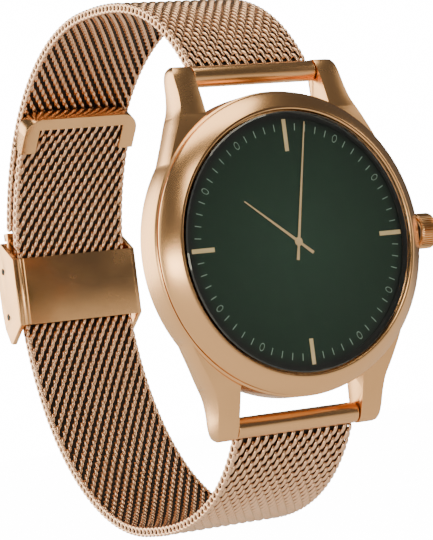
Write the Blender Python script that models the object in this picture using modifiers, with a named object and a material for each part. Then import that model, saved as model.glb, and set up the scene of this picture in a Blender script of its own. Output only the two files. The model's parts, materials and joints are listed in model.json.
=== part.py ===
"""Round smartwatch with a mesh strap and a sliding clasp, as separate pieces.

Metres, +Z towards 12 o'clock, the dial faces -Y and the crown is at +X. The origin is the middle
of the sensor window's outer face, the part of the case back that rests on the wrist.
"""

from math import atan2, cos, pi, radians, sin

import bmesh
import bpy
import numpy as np
from mathutils import Vector

MM = 0.001

# Driving sizes, in millimetres. Depths along Y are counted from the sensor window's outer face.
CASE_RADIUS = 21.5
CASE_FRONT = -7.3
CASE_SHOULDER = -3.0
CASE_REAR = -1.6
CASE_REAR_RADIUS = 20.4
BORE_RADIUS = 17.6

BEZEL_RADIUS = 21.3
BEZEL_TOP = -10.0
BEZEL_EDGE = -8.1
BEZEL_LIP_WIDTH = 0.4
GLASS_RADIUS = 18.25
GLASS_THICKNESS = 0.9
GLASS_PROUD = 0.2
DISPLAY_THICKNESS = 1.6
SHELF_WIDTH = 0.65

STRAP_WIDTH = 19.5
STRAP_THICKNESS = 1.6
END_TUBE_RADIUS = 1.5
BAR_Y = -2.5
BAR_STANDOFF = 3.2
LUG_TIP = 1.6
LUG_THICKNESS = 3.4

LOOP_FRONT = -7.2
LOOP_DEPTH = 35.2
LOOP_HEIGHT = 39.0
STRAP_LINKS = 6
TAIL_LINKS = 2
TAIL_TOP = 26.6

CLASP_LENGTH = 10.7
CLASP_HEIGHT = 6.5
CLASP_SHEET = 0.8
CLASP_PIN_SPREAD = 3.7
CLASP_PIN_HEIGHT = 2.0

CROWN_RADIUS = 2.6
CROWN_LENGTH = 2.9
CROWN_TRAVEL = 0.6
STEM_RADIUS = 0.75

SCREW_RADIUS = 0.6
WINDOW_RADIUS = 8.0
BACK_THICKNESS = 0.8

# Clearances, in millimetres.
GAP = 0.3
SEAT = 0.1
RUNNING = 0.1

# Facets round a full turn.
LARGE = 64
MEDIUM = 40
SMALL = 16
DRILL = 12

# Depths and places that follow from the driving sizes.
BACK_OUTER = -0.5
BACK_INNER = BACK_OUTER - BACK_THICKNESS
BEZEL_FOOT = CASE_FRONT - GAP
BEZEL_INNER_RADIUS = GLASS_RADIUS + 0.25
SHELF_RADIUS = BEZEL_INNER_RADIUS - SHELF_WIDTH
GLASS_FRONT = BEZEL_TOP - GLASS_PROUD
GLASS_BACK = GLASS_FRONT + GLASS_THICKNESS
GASKET_THICKNESS = 0.2
SHELF_FRONT = GLASS_BACK + 2 * SEAT + GASKET_THICKNESS
DISPLAY_FRONT = GLASS_BACK + 2 * SEAT
DISPLAY_RADIUS = SHELF_RADIUS - 0.15
CROWN_Y = (CASE_FRONT + CASE_SHOULDER) / 2
LUG_GAP = STRAP_WIDTH + 0.9
BAR_Z = CASE_RADIUS + BAR_STANDOFF
LOOP_CENTRE_Y = LOOP_DEPTH + LOOP_FRONT
TUBE_LENGTH = STRAP_WIDTH + 0.5
LAYER = STRAP_THICKNESS + 0.8
CLASP_Y = LOOP_CENTRE_Y + LOOP_DEPTH - LAYER
OUTER_STRAP_Y = LOOP_CENTRE_Y + LOOP_DEPTH
WALL_INNER = STRAP_WIDTH / 2 + 0.55
WALL_OUTER = WALL_INNER + CLASP_SHEET


# ---------------------------------------------------------------- scene, materials, helpers

for old in list(bpy.data.objects):
    bpy.data.objects.remove(old, do_unlink=True)

watch = bpy.data.collections.new("smartwatch")
cutters = bpy.data.collections.new("cutters")
bpy.context.scene.collection.children.link(watch)
bpy.context.scene.collection.children.link(cutters)


def make_material(name, colour, roughness, metallic):
    material = bpy.data.materials.new(name)
    material.use_nodes = True
    shader = material.node_tree.nodes["Principled BSDF"]
    shader.inputs["Base Color"].default_value = (*colour, 1.0)
    shader.inputs["Roughness"].default_value = roughness
    shader.inputs["Metallic"].default_value = metallic
    return material


ROSE_GOLD = make_material("rose_gold", (0.83, 0.56, 0.38), 0.28, 1.0)
MESH_GOLD = make_material("mesh_gold", (0.80, 0.55, 0.38), 0.35, 1.0)
STEEL = make_material("steel", (0.62, 0.62, 0.63), 0.30, 1.0)
GLASS = make_material("glass", (0.92, 0.96, 0.95), 0.03, 0.0)
DIAL = make_material("dial", (0.01, 0.04, 0.025), 0.30, 0.0)
BLACK_PLASTIC = make_material("black_plastic", (0.03, 0.03, 0.03), 0.50, 0.0)
BLACK_RUBBER = make_material("black_rubber", (0.02, 0.02, 0.02), 0.80, 0.0)
BOARD_GREEN = make_material("board_green", (0.02, 0.12, 0.05), 0.45, 0.0)
FOIL = make_material("foil", (0.55, 0.56, 0.58), 0.40, 0.9)
CONTACT_GOLD = make_material("contact_gold", (0.90, 0.70, 0.30), 0.25, 1.0)
SENSOR_GREEN = make_material("sensor_green", (0.15, 0.60, 0.25), 0.25, 0.0)


def finish(obj, material, collection=watch):
    """Give an object its material and collection; a cutter shows as a wire only."""
    collection.objects.link(obj)
    if material:
        obj.data.materials.append(material)
    if collection is cutters:
        obj.hide_render = True
        obj.display_type = "WIRE"
    return obj


def smooth(obj, angle=35):
    """Shade a round piece smooth, with its edges kept sharp."""
    obj.data.shade_smooth()
    obj.data.set_sharp_from_angle(angle=radians(angle))
    return obj


def turned(name, profile, material, centre=(0, 0, 0), along="Y", steps=MEDIUM, closed=False,
           collection=watch):
    """Turn (radius, distance along the axis) points, given with the outer side running from
    the high end of the axis to the low end."""
    mesh = bpy.data.meshes.new(name)
    shape = bmesh.new()
    points = [shape.verts.new((radius * MM, 0, place * MM)) for radius, place in profile]
    for first, second in zip(points, points[1:]):
        shape.edges.new((first, second))
    if closed:
        shape.edges.new((points[-1], points[0]))
    shape.to_mesh(mesh)
    shape.free()
    obj = finish(bpy.data.objects.new(name, mesh), material, collection)
    obj.location = Vector(centre) * MM
    obj.rotation_euler = {"Y": (-pi / 2, 0, 0), "X": (0, pi / 2, 0)}[along]
    screw = obj.modifiers.new("turn", "SCREW")
    screw.steps = steps
    screw.render_steps = steps
    screw.use_merge_vertices = True
    screw.merge_threshold = 0.00001
    screw.use_smooth_shade = True
    return obj


def ring_profile(inner, outer, low, high, chamfer=0.0):
    """The section of a plain ring, its outer edges chamfered."""
    if not chamfer:
        return [(inner, high), (outer, high), (outer, low), (inner, low)]
    return [
        (inner, high),
        (outer - chamfer, high),
        (outer, high - chamfer),
        (outer, low + chamfer),
        (outer - chamfer, low),
        (inner, low),
    ]


def disc_profile(radius, low, high, chamfer=0.1):
    """The section of a solid disc or pin, its edges chamfered."""
    if not chamfer:
        return [(0, high), (radius, high), (radius, low), (0, low)]
    return [
        (0, high),
        (radius - chamfer, high),
        (radius, high - chamfer),
        (radius, low + chamfer),
        (radius - chamfer, low),
        (0, low),
    ]


def ring(name, inner, outer, low, high, material, **placing):
    chamfer = placing.pop("chamfer", 0.0)
    return turned(
        name, ring_profile(inner, outer, low, high, chamfer), material, closed=True, **placing
    )


def disc(name, radius, low, high, material, **placing):
    chamfer = placing.pop("chamfer", 0.1)
    return turned(name, disc_profile(radius, low, high, chamfer), material, **placing)


def torus(name, major, minor, material, place, along, steps=MEDIUM):
    """A ring of round section whose middle is at place."""
    section = []
    for index in range(6):
        angle = pi / 2 - 2 * pi * index / 6
        section.append((major + minor * cos(angle), minor * sin(angle)))
    return turned(name, section, material, centre=place, along=along, steps=steps, closed=True)


def box(name, low, high, material, collection=watch, bevel=0.0):
    """A block between two corners, in millimetres."""
    low, high = Vector(low) * MM, Vector(high) * MM
    mesh = bpy.data.meshes.new(name)
    shape = bmesh.new()
    bmesh.ops.create_cube(shape, size=1.0)
    bmesh.ops.scale(shape, vec=high - low, verts=shape.verts)
    shape.to_mesh(mesh)
    shape.free()
    obj = finish(bpy.data.objects.new(name, mesh), material, collection)
    obj.location = (low + high) / 2
    if bevel:
        add_bevel(obj, bevel)
    return obj


def rod(name, radius, low, high, y, z, steps=SMALL):
    """A plain round bar along X, used as a cutter or as part of a join."""
    mesh = bpy.data.meshes.new(name)
    shape = bmesh.new()
    bmesh.ops.create_cone(shape, cap_ends=True, segments=steps, radius1=radius * MM,
                          radius2=radius * MM, depth=(high - low) * MM)
    shape.to_mesh(mesh)
    shape.free()
    obj = finish(bpy.data.objects.new(name, mesh), None, cutters)
    obj.rotation_euler = (0, pi / 2, 0)
    obj.location = Vector(((low + high) / 2, y, z)) * MM
    return obj


PLANES = {"YZ": (pi / 2, 0, pi / 2), "XZ": (pi / 2, 0, 0)}


def prism(name, outline, low, high, material, plane="YZ", origin=(0, 0), collection=watch):
    """Extrude a flat outline. In plane YZ it runs from low to high along X, and in plane XZ
    along Y. The object's origin is the point origin of that plane."""
    flat = bpy.data.curves.new(name, "CURVE")
    flat.dimensions = "2D"
    flat.fill_mode = "BOTH"
    flat.extrude = (high - low) / 2 * MM
    spline = flat.splines.new("POLY")
    spline.points.add(len(outline) - 1)
    for point, (first, second) in zip(spline.points, outline):
        point.co = ((first - origin[0]) * MM, (second - origin[1]) * MM, 0, 1)
    spline.use_cyclic_u = True
    guide = bpy.data.objects.new(name, flat)
    cutters.objects.link(guide)
    bpy.context.view_layer.update()
    evaluated = guide.evaluated_get(bpy.context.evaluated_depsgraph_get())
    mesh = bpy.data.meshes.new_from_object(evaluated)
    bpy.data.objects.remove(guide)
    shape = bmesh.new()
    shape.from_mesh(mesh)
    bmesh.ops.remove_doubles(shape, verts=shape.verts, dist=0.000001)
    bmesh.ops.recalc_face_normals(shape, faces=shape.faces)
    shape.to_mesh(mesh)
    shape.free()
    mesh.name = name
    obj = finish(bpy.data.objects.new(name, mesh), material, collection)
    obj.rotation_euler = PLANES[plane]
    middle = (low + high) / 2
    if plane == "YZ":
        obj.location = Vector((middle, origin[0], origin[1])) * MM
    else:
        obj.location = Vector((origin[0], middle, origin[1])) * MM
    return obj


def add_bevel(obj, width, segments=2, angle=40):
    bevel = obj.modifiers.new("edges", "BEVEL")
    bevel.width = width * MM
    bevel.segments = segments
    bevel.limit_method = "ANGLE"
    bevel.angle_limit = radians(angle)
    return bevel


def add_boolean(obj, other, operation="DIFFERENCE"):
    boolean = obj.modifiers.new(operation.lower(), "BOOLEAN")
    boolean.operation = operation
    boolean.solver = "EXACT"
    boolean.object = other
    return boolean


def joint_empty(name, x=0.0, y=0.0, z=0.0):
    """An empty on a joint's axis, which the joint's moving pieces are parented to."""
    empty = bpy.data.objects.new(name, None)
    empty.empty_display_size = 0.004
    empty.location = Vector((x, y, z)) * MM
    watch.objects.link(empty)
    return empty


def attach(empty, *pieces):
    for piece in pieces:
        piece.parent = empty
        piece.location = piece.location - empty.location


# ---------------------------------------------------------------- case and lugs

def lug_side():
    """The lug seen from the side, as (y, z): it leans back from the case to the bar."""
    tip = BAR_Z + LUG_TIP
    return [
        (CASE_SHOULDER, CASE_RADIUS - 9.5),
        (CASE_SHOULDER + 0.4, CASE_RADIUS - 6.5),
        (BAR_Y + 0.9, BAR_Z - 5.7),
        (BAR_Y + 1.2, BAR_Z + 0.5),
        (BAR_Y + 0.9, tip - 0.35),
        (BAR_Y + 0.2, tip),
        (BAR_Y - 0.7, tip - 0.2),
        (BAR_Y - 1.5, BAR_Z + 0.4),
        (BAR_Y - 2.6, BAR_Z - 2.4),
        (BAR_Y - 3.3, BAR_Z - 4.7),
        (CASE_FRONT + 0.9, BAR_Z - 6.8),
        (CASE_FRONT + 0.5, CASE_RADIUS - 6.5),
        (CASE_FRONT + 0.3, CASE_RADIUS - 9.5),
    ]


def lug_plan():
    """The lug seen from the front, as (x, z): straight inside, and swept into the case outside."""
    inside = LUG_GAP / 2
    outside = inside + LUG_THICKNESS
    tip = BAR_Z + LUG_TIP
    root = BORE_RADIUS + 0.9
    low_angle = radians(23)
    return [
        (inside, tip + 0.2),
        (inside, (root ** 2 - inside ** 2) ** 0.5),
        (root * cos(low_angle), root * sin(low_angle)),
        (CASE_RADIUS * cos(radians(27)), CASE_RADIUS * sin(radians(27))),
        ((CASE_RADIUS + 0.45) * cos(radians(40)), (CASE_RADIUS + 0.45) * sin(radians(40))),
        (outside + 1.3, BAR_Z - 6.8),
        (outside + 0.35, BAR_Z - 4.9),
        (outside + 0.05, BAR_Z - 3.1),
        (outside, BAR_Z + 0.6),
        (outside - 0.4, BAR_Z + 0.95),
    ]


lug = prism("lug", lug_side(), LUG_GAP / 2 - 1, CASE_RADIUS, None, collection=cutters)
lug_outline = prism("lug_outline", lug_plan(), CASE_FRONT - 1, 1, None, plane="XZ",
                    collection=cutters)
add_boolean(lug, lug_outline, "INTERSECT")
add_bevel(lug, 0.15, segments=1)
mirror = lug.modifiers.new("four_lugs", "MIRROR")
mirror.use_axis = (False, True, True)
mirror.merge_threshold = 0.00001
mirror_centre = bpy.data.objects.new("lug_mirror_centre", None)
mirror_centre.rotation_euler = PLANES["YZ"]
cutters.objects.link(mirror_centre)
mirror.mirror_object = mirror_centre

case_body = turned(
    "case_body",
    [
        (BORE_RADIUS, CASE_REAR),
        (CASE_REAR_RADIUS - 0.3, CASE_REAR),
        (CASE_REAR_RADIUS, CASE_REAR - 0.2),
        (CASE_RADIUS, CASE_SHOULDER),
        (CASE_RADIUS, CASE_FRONT + 0.25),
        (CASE_RADIUS - 0.15, CASE_FRONT),
        (BORE_RADIUS, CASE_FRONT),
    ],
    ROSE_GOLD,
    steps=LARGE,
    closed=True,
)
add_boolean(case_body, lug, "UNION")

TUBE_BORE = STEM_RADIUS + 0.55
TUBE_OUTER = TUBE_BORE + 0.3
crown_hole = rod("crown_hole", TUBE_OUTER + SEAT, BORE_RADIUS - 2, CASE_RADIUS + 2, CROWN_Y, 0)
add_boolean(case_body, crown_hole)

BAR_TIP_RADIUS = 0.4
BAR_REACH = LUG_GAP / 2 + 1.4
for side, sign in (("upper", 1), ("lower", -1)):
    hole = rod(f"bar_hole_{side}", BAR_TIP_RADIUS + RUNNING, -BAR_REACH - GAP, BAR_REACH + GAP,
               BAR_Y, sign * BAR_Z)
    add_boolean(case_body, hole)

SCREW_CIRCLE = (BORE_RADIUS + CASE_REAR_RADIUS) / 2 - 0.15
SCREW_ANGLES = (45, 135, 225, 315)
SCREW_DEPTH = 2.6
SCREW_HEAD_RADIUS = SCREW_RADIUS + 0.5
SCREW_HEAD_DEPTH = 0.4
screw_places = [
    (SCREW_CIRCLE * cos(radians(angle)), SCREW_CIRCLE * sin(radians(angle)))
    for angle in SCREW_ANGLES
]
for number, (x, z) in enumerate(screw_places, start=1):
    drill = disc(f"screw_drill_{number}", SCREW_RADIUS + RUNNING, CASE_REAR - SCREW_DEPTH,
                 CASE_REAR + 0.5, None, centre=(x, 0, z), steps=DRILL, chamfer=0,
                 collection=cutters)
    add_boolean(case_body, drill)


# ---------------------------------------------------------------- front: bezel, glass, display

bezel = turned(
    "bezel",
    [
        (SHELF_RADIUS, BEZEL_FOOT),
        (BEZEL_RADIUS - 0.1, BEZEL_FOOT),
        (BEZEL_RADIUS, BEZEL_FOOT - 0.1),
        (BEZEL_RADIUS - 0.05, BEZEL_EDGE),
        (BEZEL_INNER_RADIUS + BEZEL_LIP_WIDTH, BEZEL_TOP),
        (BEZEL_INNER_RADIUS, BEZEL_TOP + 0.05),
        (BEZEL_INNER_RADIUS, SHELF_FRONT),
        (SHELF_RADIUS, SHELF_FRONT),
    ],
    ROSE_GOLD,
    steps=LARGE,
    closed=True,
)

cover_glass = disc("cover_glass", GLASS_RADIUS, GLASS_FRONT, GLASS_BACK, GLASS, steps=LARGE)
glass_gasket = ring("glass_gasket", SHELF_RADIUS + 0.1, GLASS_RADIUS - 0.05, GLASS_BACK + SEAT,
                    GLASS_BACK + SEAT + GASKET_THICKNESS, BLACK_RUBBER, steps=LARGE)
display = disc("display", DISPLAY_RADIUS, DISPLAY_FRONT, DISPLAY_FRONT + DISPLAY_THICKNESS, DIAL,
               steps=LARGE, chamfer=0)

HOLDER_FRONT = DISPLAY_FRONT + DISPLAY_THICKNESS + GAP
HOLDER_PLATE = 0.5
HOLDER_RADIUS = BORE_RADIUS - GAP
HOLDER_WALL = 0.8
HOLDER_REAR = BACK_INNER - 1.6
display_holder = turned(
    "display_holder",
    [
        (0, HOLDER_FRONT + HOLDER_PLATE),
        (HOLDER_RADIUS - HOLDER_WALL, HOLDER_FRONT + HOLDER_PLATE),
        (HOLDER_RADIUS - HOLDER_WALL, HOLDER_REAR),
        (HOLDER_RADIUS, HOLDER_REAR),
        (HOLDER_RADIUS, HOLDER_FRONT),
        (0, HOLDER_FRONT),
    ],
    BLACK_PLASTIC,
    steps=MEDIUM,
)
PUSHER_RADIUS = 1.2
holder_notch = box("holder_notch", (HOLDER_RADIUS - 2.4, HOLDER_FRONT - 1, -TUBE_OUTER - GAP),
                   (HOLDER_RADIUS + 1, HOLDER_REAR + 1, TUBE_OUTER + GAP), None,
                   collection=cutters)
add_boolean(display_holder, holder_notch)


# ---------------------------------------------------------------- inside the case

INSIDE_RADIUS = HOLDER_RADIUS - HOLDER_WALL - GAP
BOARD_FRONT = HOLDER_FRONT + HOLDER_PLATE + GAP
BOARD_THICKNESS = 0.8
BOARD_REAR = BOARD_FRONT + BOARD_THICKNESS
main_board = disc("main_board", INSIDE_RADIUS, BOARD_FRONT, BOARD_REAR, BOARD_GREEN, chamfer=0)
board_notch = box("board_notch", (INSIDE_RADIUS - 1.2, BOARD_FRONT - 1, -TUBE_OUTER - GAP),
                  (INSIDE_RADIUS + 1, BOARD_REAR + 1, TUBE_OUTER + GAP), None,
                  collection=cutters)
add_boolean(main_board, board_notch)

BATTERY_SIZE = (16.0, 2.2, 18.5)
BATTERY_EDGE = 4.6
battery = box(
    "battery",
    (BATTERY_EDGE - BATTERY_SIZE[0], BOARD_REAR + GAP, -BATTERY_SIZE[2] / 2),
    (BATTERY_EDGE, BOARD_REAR + GAP + BATTERY_SIZE[1], BATTERY_SIZE[2] / 2),
    FOIL,
    bevel=0.5,
)

SHIELD_LOW = (BATTERY_EDGE + 1.2, 3.6)
SHIELD_SIZE = (6.0, 1.3, 6.6)
shield_can = box(
    "shield_can",
    (SHIELD_LOW[0], BOARD_REAR + SEAT, SHIELD_LOW[1]),
    (SHIELD_LOW[0] + SHIELD_SIZE[0], BOARD_REAR + SEAT + SHIELD_SIZE[1],
     SHIELD_LOW[1] + SHIELD_SIZE[2]),
    STEEL,
    bevel=0.15,
)

MOTOR_RADIUS = 3.5
MOTOR_HEIGHT = 2.0
MOTOR_WALL = 0.25
MOTOR_X = BATTERY_EDGE + MOTOR_RADIUS + 0.9
MOTOR_Z = -7.9
motor_front = BOARD_REAR + GAP
motor_rear = motor_front + MOTOR_HEIGHT
motor_can = turned(
    "vibration_motor_can",
    [
        (0, motor_rear),
        (MOTOR_RADIUS - 0.15, motor_rear),
        (MOTOR_RADIUS, motor_rear - 0.15),
        (MOTOR_RADIUS, motor_front),
        (MOTOR_RADIUS - MOTOR_WALL, motor_front),
        (MOTOR_RADIUS - MOTOR_WALL, motor_rear - MOTOR_WALL),
        (0.3, motor_rear - MOTOR_WALL),
        (0.3, motor_front + 0.2),
        (0, motor_front + 0.2),
    ],
    STEEL,
    centre=(MOTOR_X, 0, MOTOR_Z),
    steps=24,
)


def motor_weight_outline():
    """A sector with a hub, round the motor's shaft, hanging down."""
    reach = MOTOR_RADIUS - MOTOR_WALL - GAP
    hub = 0.9
    points = []
    for index in range(13):
        angle = radians(192) + radians(156) * index / 12
        points.append((reach * cos(angle), reach * sin(angle)))
    for index in range(7):
        angle = pi * index / 6
        points.append((hub * cos(angle), hub * sin(angle)))
    return [(x + MOTOR_X, z + MOTOR_Z) for x, z in points]


motor_weight = prism("vibration_motor_weight", motor_weight_outline(), motor_front + 0.35,
                     motor_rear - MOTOR_WALL - GAP, STEEL, plane="XZ", origin=(MOTOR_X, MOTOR_Z))
motor_shaft_hole = disc("motor_shaft_hole", 0.3 + RUNNING, motor_front - 1, motor_rear + 1, None,
                        centre=(MOTOR_X, 0, MOTOR_Z), steps=DRILL, chamfer=0,
                        collection=cutters)
add_boolean(motor_weight, motor_shaft_hole)
attach(joint_empty("motor_spin_axis", MOTOR_X, 0, MOTOR_Z), motor_weight)

SENSOR_BOARD_REAR = BACK_INNER - 0.35
SENSOR_BOARD_FRONT = SENSOR_BOARD_REAR - 0.6
sensor_board = disc("sensor_board", WINDOW_RADIUS - 0.3, SENSOR_BOARD_FRONT, SENSOR_BOARD_REAR,
                    BOARD_GREEN, chamfer=0)
WINDOW_FRONT = BACK_OUTER - 0.6
heart_sensor = box("heart_sensor", (-2.4, SENSOR_BOARD_REAR + SEAT, -1.6),
                   (2.4, WINDOW_FRONT - 0.15, 1.6), SENSOR_GREEN)


# ---------------------------------------------------------------- case back

PLUG_DEPTH = 1.1
SEAL_RADIUS = 0.3
PLUG_RADIUS = BORE_RADIUS - 2 * SEAL_RADIUS - 0.25
BACK_RADIUS = CASE_REAR_RADIUS - 0.5
case_back = turned(
    "case_back",
    [
        (WINDOW_RADIUS + SEAT, BACK_OUTER),
        (BACK_RADIUS - 0.35, BACK_OUTER),
        (BACK_RADIUS, BACK_OUTER - 0.35),
        (BACK_RADIUS, BACK_INNER),
        (PLUG_RADIUS, BACK_INNER),
        (PLUG_RADIUS, BACK_INNER - PLUG_DEPTH),
        (PLUG_RADIUS - 0.6, BACK_INNER - PLUG_DEPTH),
        (PLUG_RADIUS - 0.6, BACK_INNER),
        (WINDOW_RADIUS + SEAT, BACK_INNER),
    ],
    STEEL,
    steps=LARGE,
    closed=True,
)
for number, (x, z) in enumerate(screw_places, start=1):
    shank = disc(f"screw_clearance_{number}", SCREW_RADIUS + RUNNING, BACK_INNER - 1,
                 BACK_OUTER + 1, None, centre=(x, 0, z), steps=DRILL, chamfer=0,
                 collection=cutters)
    sink = disc(f"screw_sink_{number}", SCREW_HEAD_RADIUS + RUNNING,
                BACK_OUTER - SCREW_HEAD_DEPTH - 0.05, BACK_OUTER + 1, None, centre=(x, 0, z),
                steps=DRILL, chamfer=0, collection=cutters)
    add_boolean(case_back, shank)
    add_boolean(case_back, sink)
    head_top = BACK_OUTER - 0.02
    turned(
        f"back_screw_{number}",
        [
            (0, head_top),
            (SCREW_HEAD_RADIUS - 0.1, head_top),
            (SCREW_HEAD_RADIUS, head_top - 0.1),
            (SCREW_HEAD_RADIUS, BACK_OUTER - SCREW_HEAD_DEPTH),
            (SCREW_RADIUS, BACK_OUTER - SCREW_HEAD_DEPTH),
            (SCREW_RADIUS, CASE_REAR - SCREW_DEPTH + GAP),
            (0, CASE_REAR - SCREW_DEPTH + GAP - 0.2),
        ],
        STEEL,
        centre=(x, 0, z),
        steps=DRILL,
    )

back_gasket = torus("back_gasket", PLUG_RADIUS + SEAL_RADIUS + 0.12, SEAL_RADIUS, BLACK_RUBBER,
                    (0, BACK_INNER - PLUG_DEPTH / 2 - 0.1, 0), "Y")
sensor_window = disc("sensor_window", WINDOW_RADIUS, WINDOW_FRONT, 0.0, GLASS, chamfer=0.3)

CONTACT_RADIUS = 1.2
CONTACT_PLACES = ((-2.6, -12.6), (2.6, -12.6))
MAGNET_PLACES = ((-6.6, -11.6), (6.6, -11.6))
for number, (x, z) in enumerate(CONTACT_PLACES, start=1):
    hole = disc(f"contact_hole_{number}", CONTACT_RADIUS + SEAT, BACK_INNER - 1, BACK_OUTER + 1,
                None, centre=(x, 0, z), chamfer=0, steps=SMALL, collection=cutters)
    add_boolean(case_back, hole)
    turned(
        f"charging_contact_{number}",
        [
            (0, BACK_OUTER + 0.05),
            (CONTACT_RADIUS - 0.1, BACK_OUTER + 0.05),
            (CONTACT_RADIUS, BACK_OUTER - 0.05),
            (CONTACT_RADIUS, BACK_INNER - 0.2),
            (CONTACT_RADIUS - 0.5, BACK_INNER - 0.2),
            (CONTACT_RADIUS - 0.5, BACK_INNER - 0.9),
            (0, BACK_INNER - 0.9),
        ],
        CONTACT_GOLD,
        centre=(x, 0, z),
        steps=SMALL,
    )
for number, (x, z) in enumerate(MAGNET_PLACES, start=1):
    disc(f"charging_magnet_{number}", 1.5, BACK_INNER - 1.0, BACK_INNER - 0.2, STEEL,
         centre=(x, 0, z), steps=SMALL, chamfer=0)


# ---------------------------------------------------------------- crown

CROWN_INNER = CASE_RADIUS + CROWN_TRAVEL + GAP
CROWN_OUTER = CROWN_INNER + CROWN_LENGTH
SKIRT_RADIUS = TUBE_OUTER + GAP
SKIRT_DEPTH = CROWN_LENGTH - 1.0
SOCKET_DEPTH = SKIRT_DEPTH + 0.5
TUBE_LOW = BORE_RADIUS + 0.2
TUBE_HIGH = CROWN_INNER + 0.3
CLIP_PLACE = TUBE_LOW - 0.7
STEM_END = CLIP_PLACE - 0.35
crown_centre = (0, CROWN_Y, 0)
crown_axis = joint_empty("crown_axis", CROWN_INNER, CROWN_Y, 0)

crown_tube = ring("crown_tube", TUBE_BORE, TUBE_OUTER, TUBE_LOW, TUBE_HIGH, STEEL,
                  centre=crown_centre, along="X", steps=24)

FLUTES = 18


def crown_outline():
    """A fluted circle: four points to each flute."""
    points = []
    for index in range(FLUTES * 4):
        angle = 2 * pi * index / (FLUTES * 4)
        radius = CROWN_RADIUS - 0.11 * (1 - cos(FLUTES * angle))
        points.append((CROWN_Y + radius * cos(angle), radius * sin(angle)))
    return points


crown_head = prism("crown_head", crown_outline(), CROWN_INNER, CROWN_OUTER, ROSE_GOLD,
                   origin=(CROWN_Y, 0))
crown_shape = turned(
    "crown_shape",
    [
        (0, CROWN_OUTER),
        (CROWN_RADIUS - 0.75, CROWN_OUTER - 0.02),
        (CROWN_RADIUS - 0.2, CROWN_OUTER - 0.35),
        (CROWN_RADIUS + 0.3, CROWN_OUTER - 0.9),
        (CROWN_RADIUS + 0.3, CROWN_INNER + 0.3),
        (CROWN_RADIUS - 0.25, CROWN_INNER),
        (SKIRT_RADIUS, CROWN_INNER),
        (SKIRT_RADIUS, CROWN_INNER + SKIRT_DEPTH),
        (STEM_RADIUS + RUNNING, CROWN_INNER + SKIRT_DEPTH),
        (STEM_RADIUS + RUNNING, CROWN_INNER + SOCKET_DEPTH),
        (0, CROWN_INNER + SOCKET_DEPTH),
    ],
    None,
    centre=crown_centre,
    along="X",
    steps=36,
    collection=cutters,
)
add_boolean(crown_head, crown_shape, "INTERSECT")

crown_stem = disc("crown_stem", STEM_RADIUS, STEM_END, CROWN_INNER + SOCKET_DEPTH - 0.1, STEEL,
                  centre=crown_centre, along="X", steps=SMALL)
clip_groove = ring("clip_groove", STEM_RADIUS - 0.3, STEM_RADIUS + 1, CLIP_PLACE - 0.15,
                   CLIP_PLACE + 0.15, None, centre=crown_centre, along="X", steps=SMALL,
                   collection=cutters)
add_boolean(crown_stem, clip_groove)
crown_clip = ring("crown_clip", STEM_RADIUS - 0.2, TUBE_OUTER - 0.2, CLIP_PLACE - 0.1,
                  CLIP_PLACE + 0.1, STEEL, centre=crown_centre, along="X", steps=SMALL)
clip_mouth = box("clip_mouth", (CLIP_PLACE - 1, CROWN_Y, -0.45),
                 (CLIP_PLACE + 1, CROWN_Y + 3, 0.45), None, collection=cutters)
add_boolean(crown_clip, clip_mouth)
seal_section = (TUBE_BORE - STEM_RADIUS) / 2 - 0.07
crown_seal = torus("crown_seal", (TUBE_BORE + STEM_RADIUS) / 2, seal_section, BLACK_RUBBER,
                   (TUBE_LOW + 1.2, CROWN_Y, 0), "X", steps=SMALL)
attach(crown_axis, crown_head, crown_stem, crown_clip, crown_seal)

PUSHER_LENGTH = 0.8
PUSHER_HIGH = STEM_END - SEAT
PUSHER_LOW = PUSHER_HIGH - PUSHER_LENGTH
pusher_axis = joint_empty("crown_press_axis", PUSHER_HIGH, CROWN_Y, 0)
crown_pusher = disc("crown_pusher", PUSHER_RADIUS, PUSHER_LOW, PUSHER_HIGH, BLACK_PLASTIC,
                    centre=crown_centre, along="X", steps=SMALL, chamfer=0)
attach(pusher_axis, crown_pusher)

SWITCH_HIGH = PUSHER_LOW - CROWN_TRAVEL - 0.15
side_switch = box("side_switch", (SWITCH_HIGH - 1.5, BOARD_REAR + SEAT, -1.7),
                  (SWITCH_HIGH, BOARD_REAR + SEAT + 2.0, 1.7), STEEL, bevel=0.1)


def crown_spring_curve():
    """The coil spring round the stem, between the tube's end and the floor of the crown."""
    turns = 3
    per_turn = 12
    wire = 0.1
    coil = (TUBE_BORE + TUBE_OUTER) / 2
    low = TUBE_HIGH + SEAT + wire
    high = CROWN_INNER + SKIRT_DEPTH - SEAT - wire
    curve = bpy.data.curves.new("crown_spring", "CURVE")
    curve.dimensions = "3D"
    curve.bevel_depth = wire * MM
    curve.bevel_resolution = 1
    curve.use_fill_caps = True
    spline = curve.splines.new("POLY")
    spline.points.add(turns * per_turn)
    for index, point in enumerate(spline.points):
        angle = 2 * pi * index / per_turn
        along = low + (high - low) * index / (turns * per_turn)
        point.co = (along * MM, coil * cos(angle) * MM, coil * sin(angle) * MM, 1)
    spring = finish(bpy.data.objects.new("crown_spring", curve), STEEL)
    spring.location = (0, CROWN_Y * MM, 0)
    return spring


crown_spring = crown_spring_curve()


# ---------------------------------------------------------------- the strap's loop

def loop_squareness():
    """The exponent with which the loop's front quarters pass through both spring bars."""
    across = (LOOP_CENTRE_Y - BAR_Y) / LOOP_DEPTH
    up = BAR_Z / LOOP_HEIGHT
    low, high = 1.2, 6.0
    for _ in range(50):
        middle = (low + high) / 2
        if across ** middle + up ** middle > 1:
            low = middle
        else:
            high = middle
    return middle


def front_quarter(sign, count=2000):
    """(y, z) points from a spring bar to the top or bottom of the loop."""
    power = loop_squareness()
    across = np.linspace((LOOP_CENTRE_Y - BAR_Y) / LOOP_DEPTH, 0, count)
    up = LOOP_HEIGHT * (1 - across ** power) ** (1 / power)
    return np.stack([LOOP_CENTRE_Y - LOOP_DEPTH * across, sign * up], axis=1)


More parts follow.
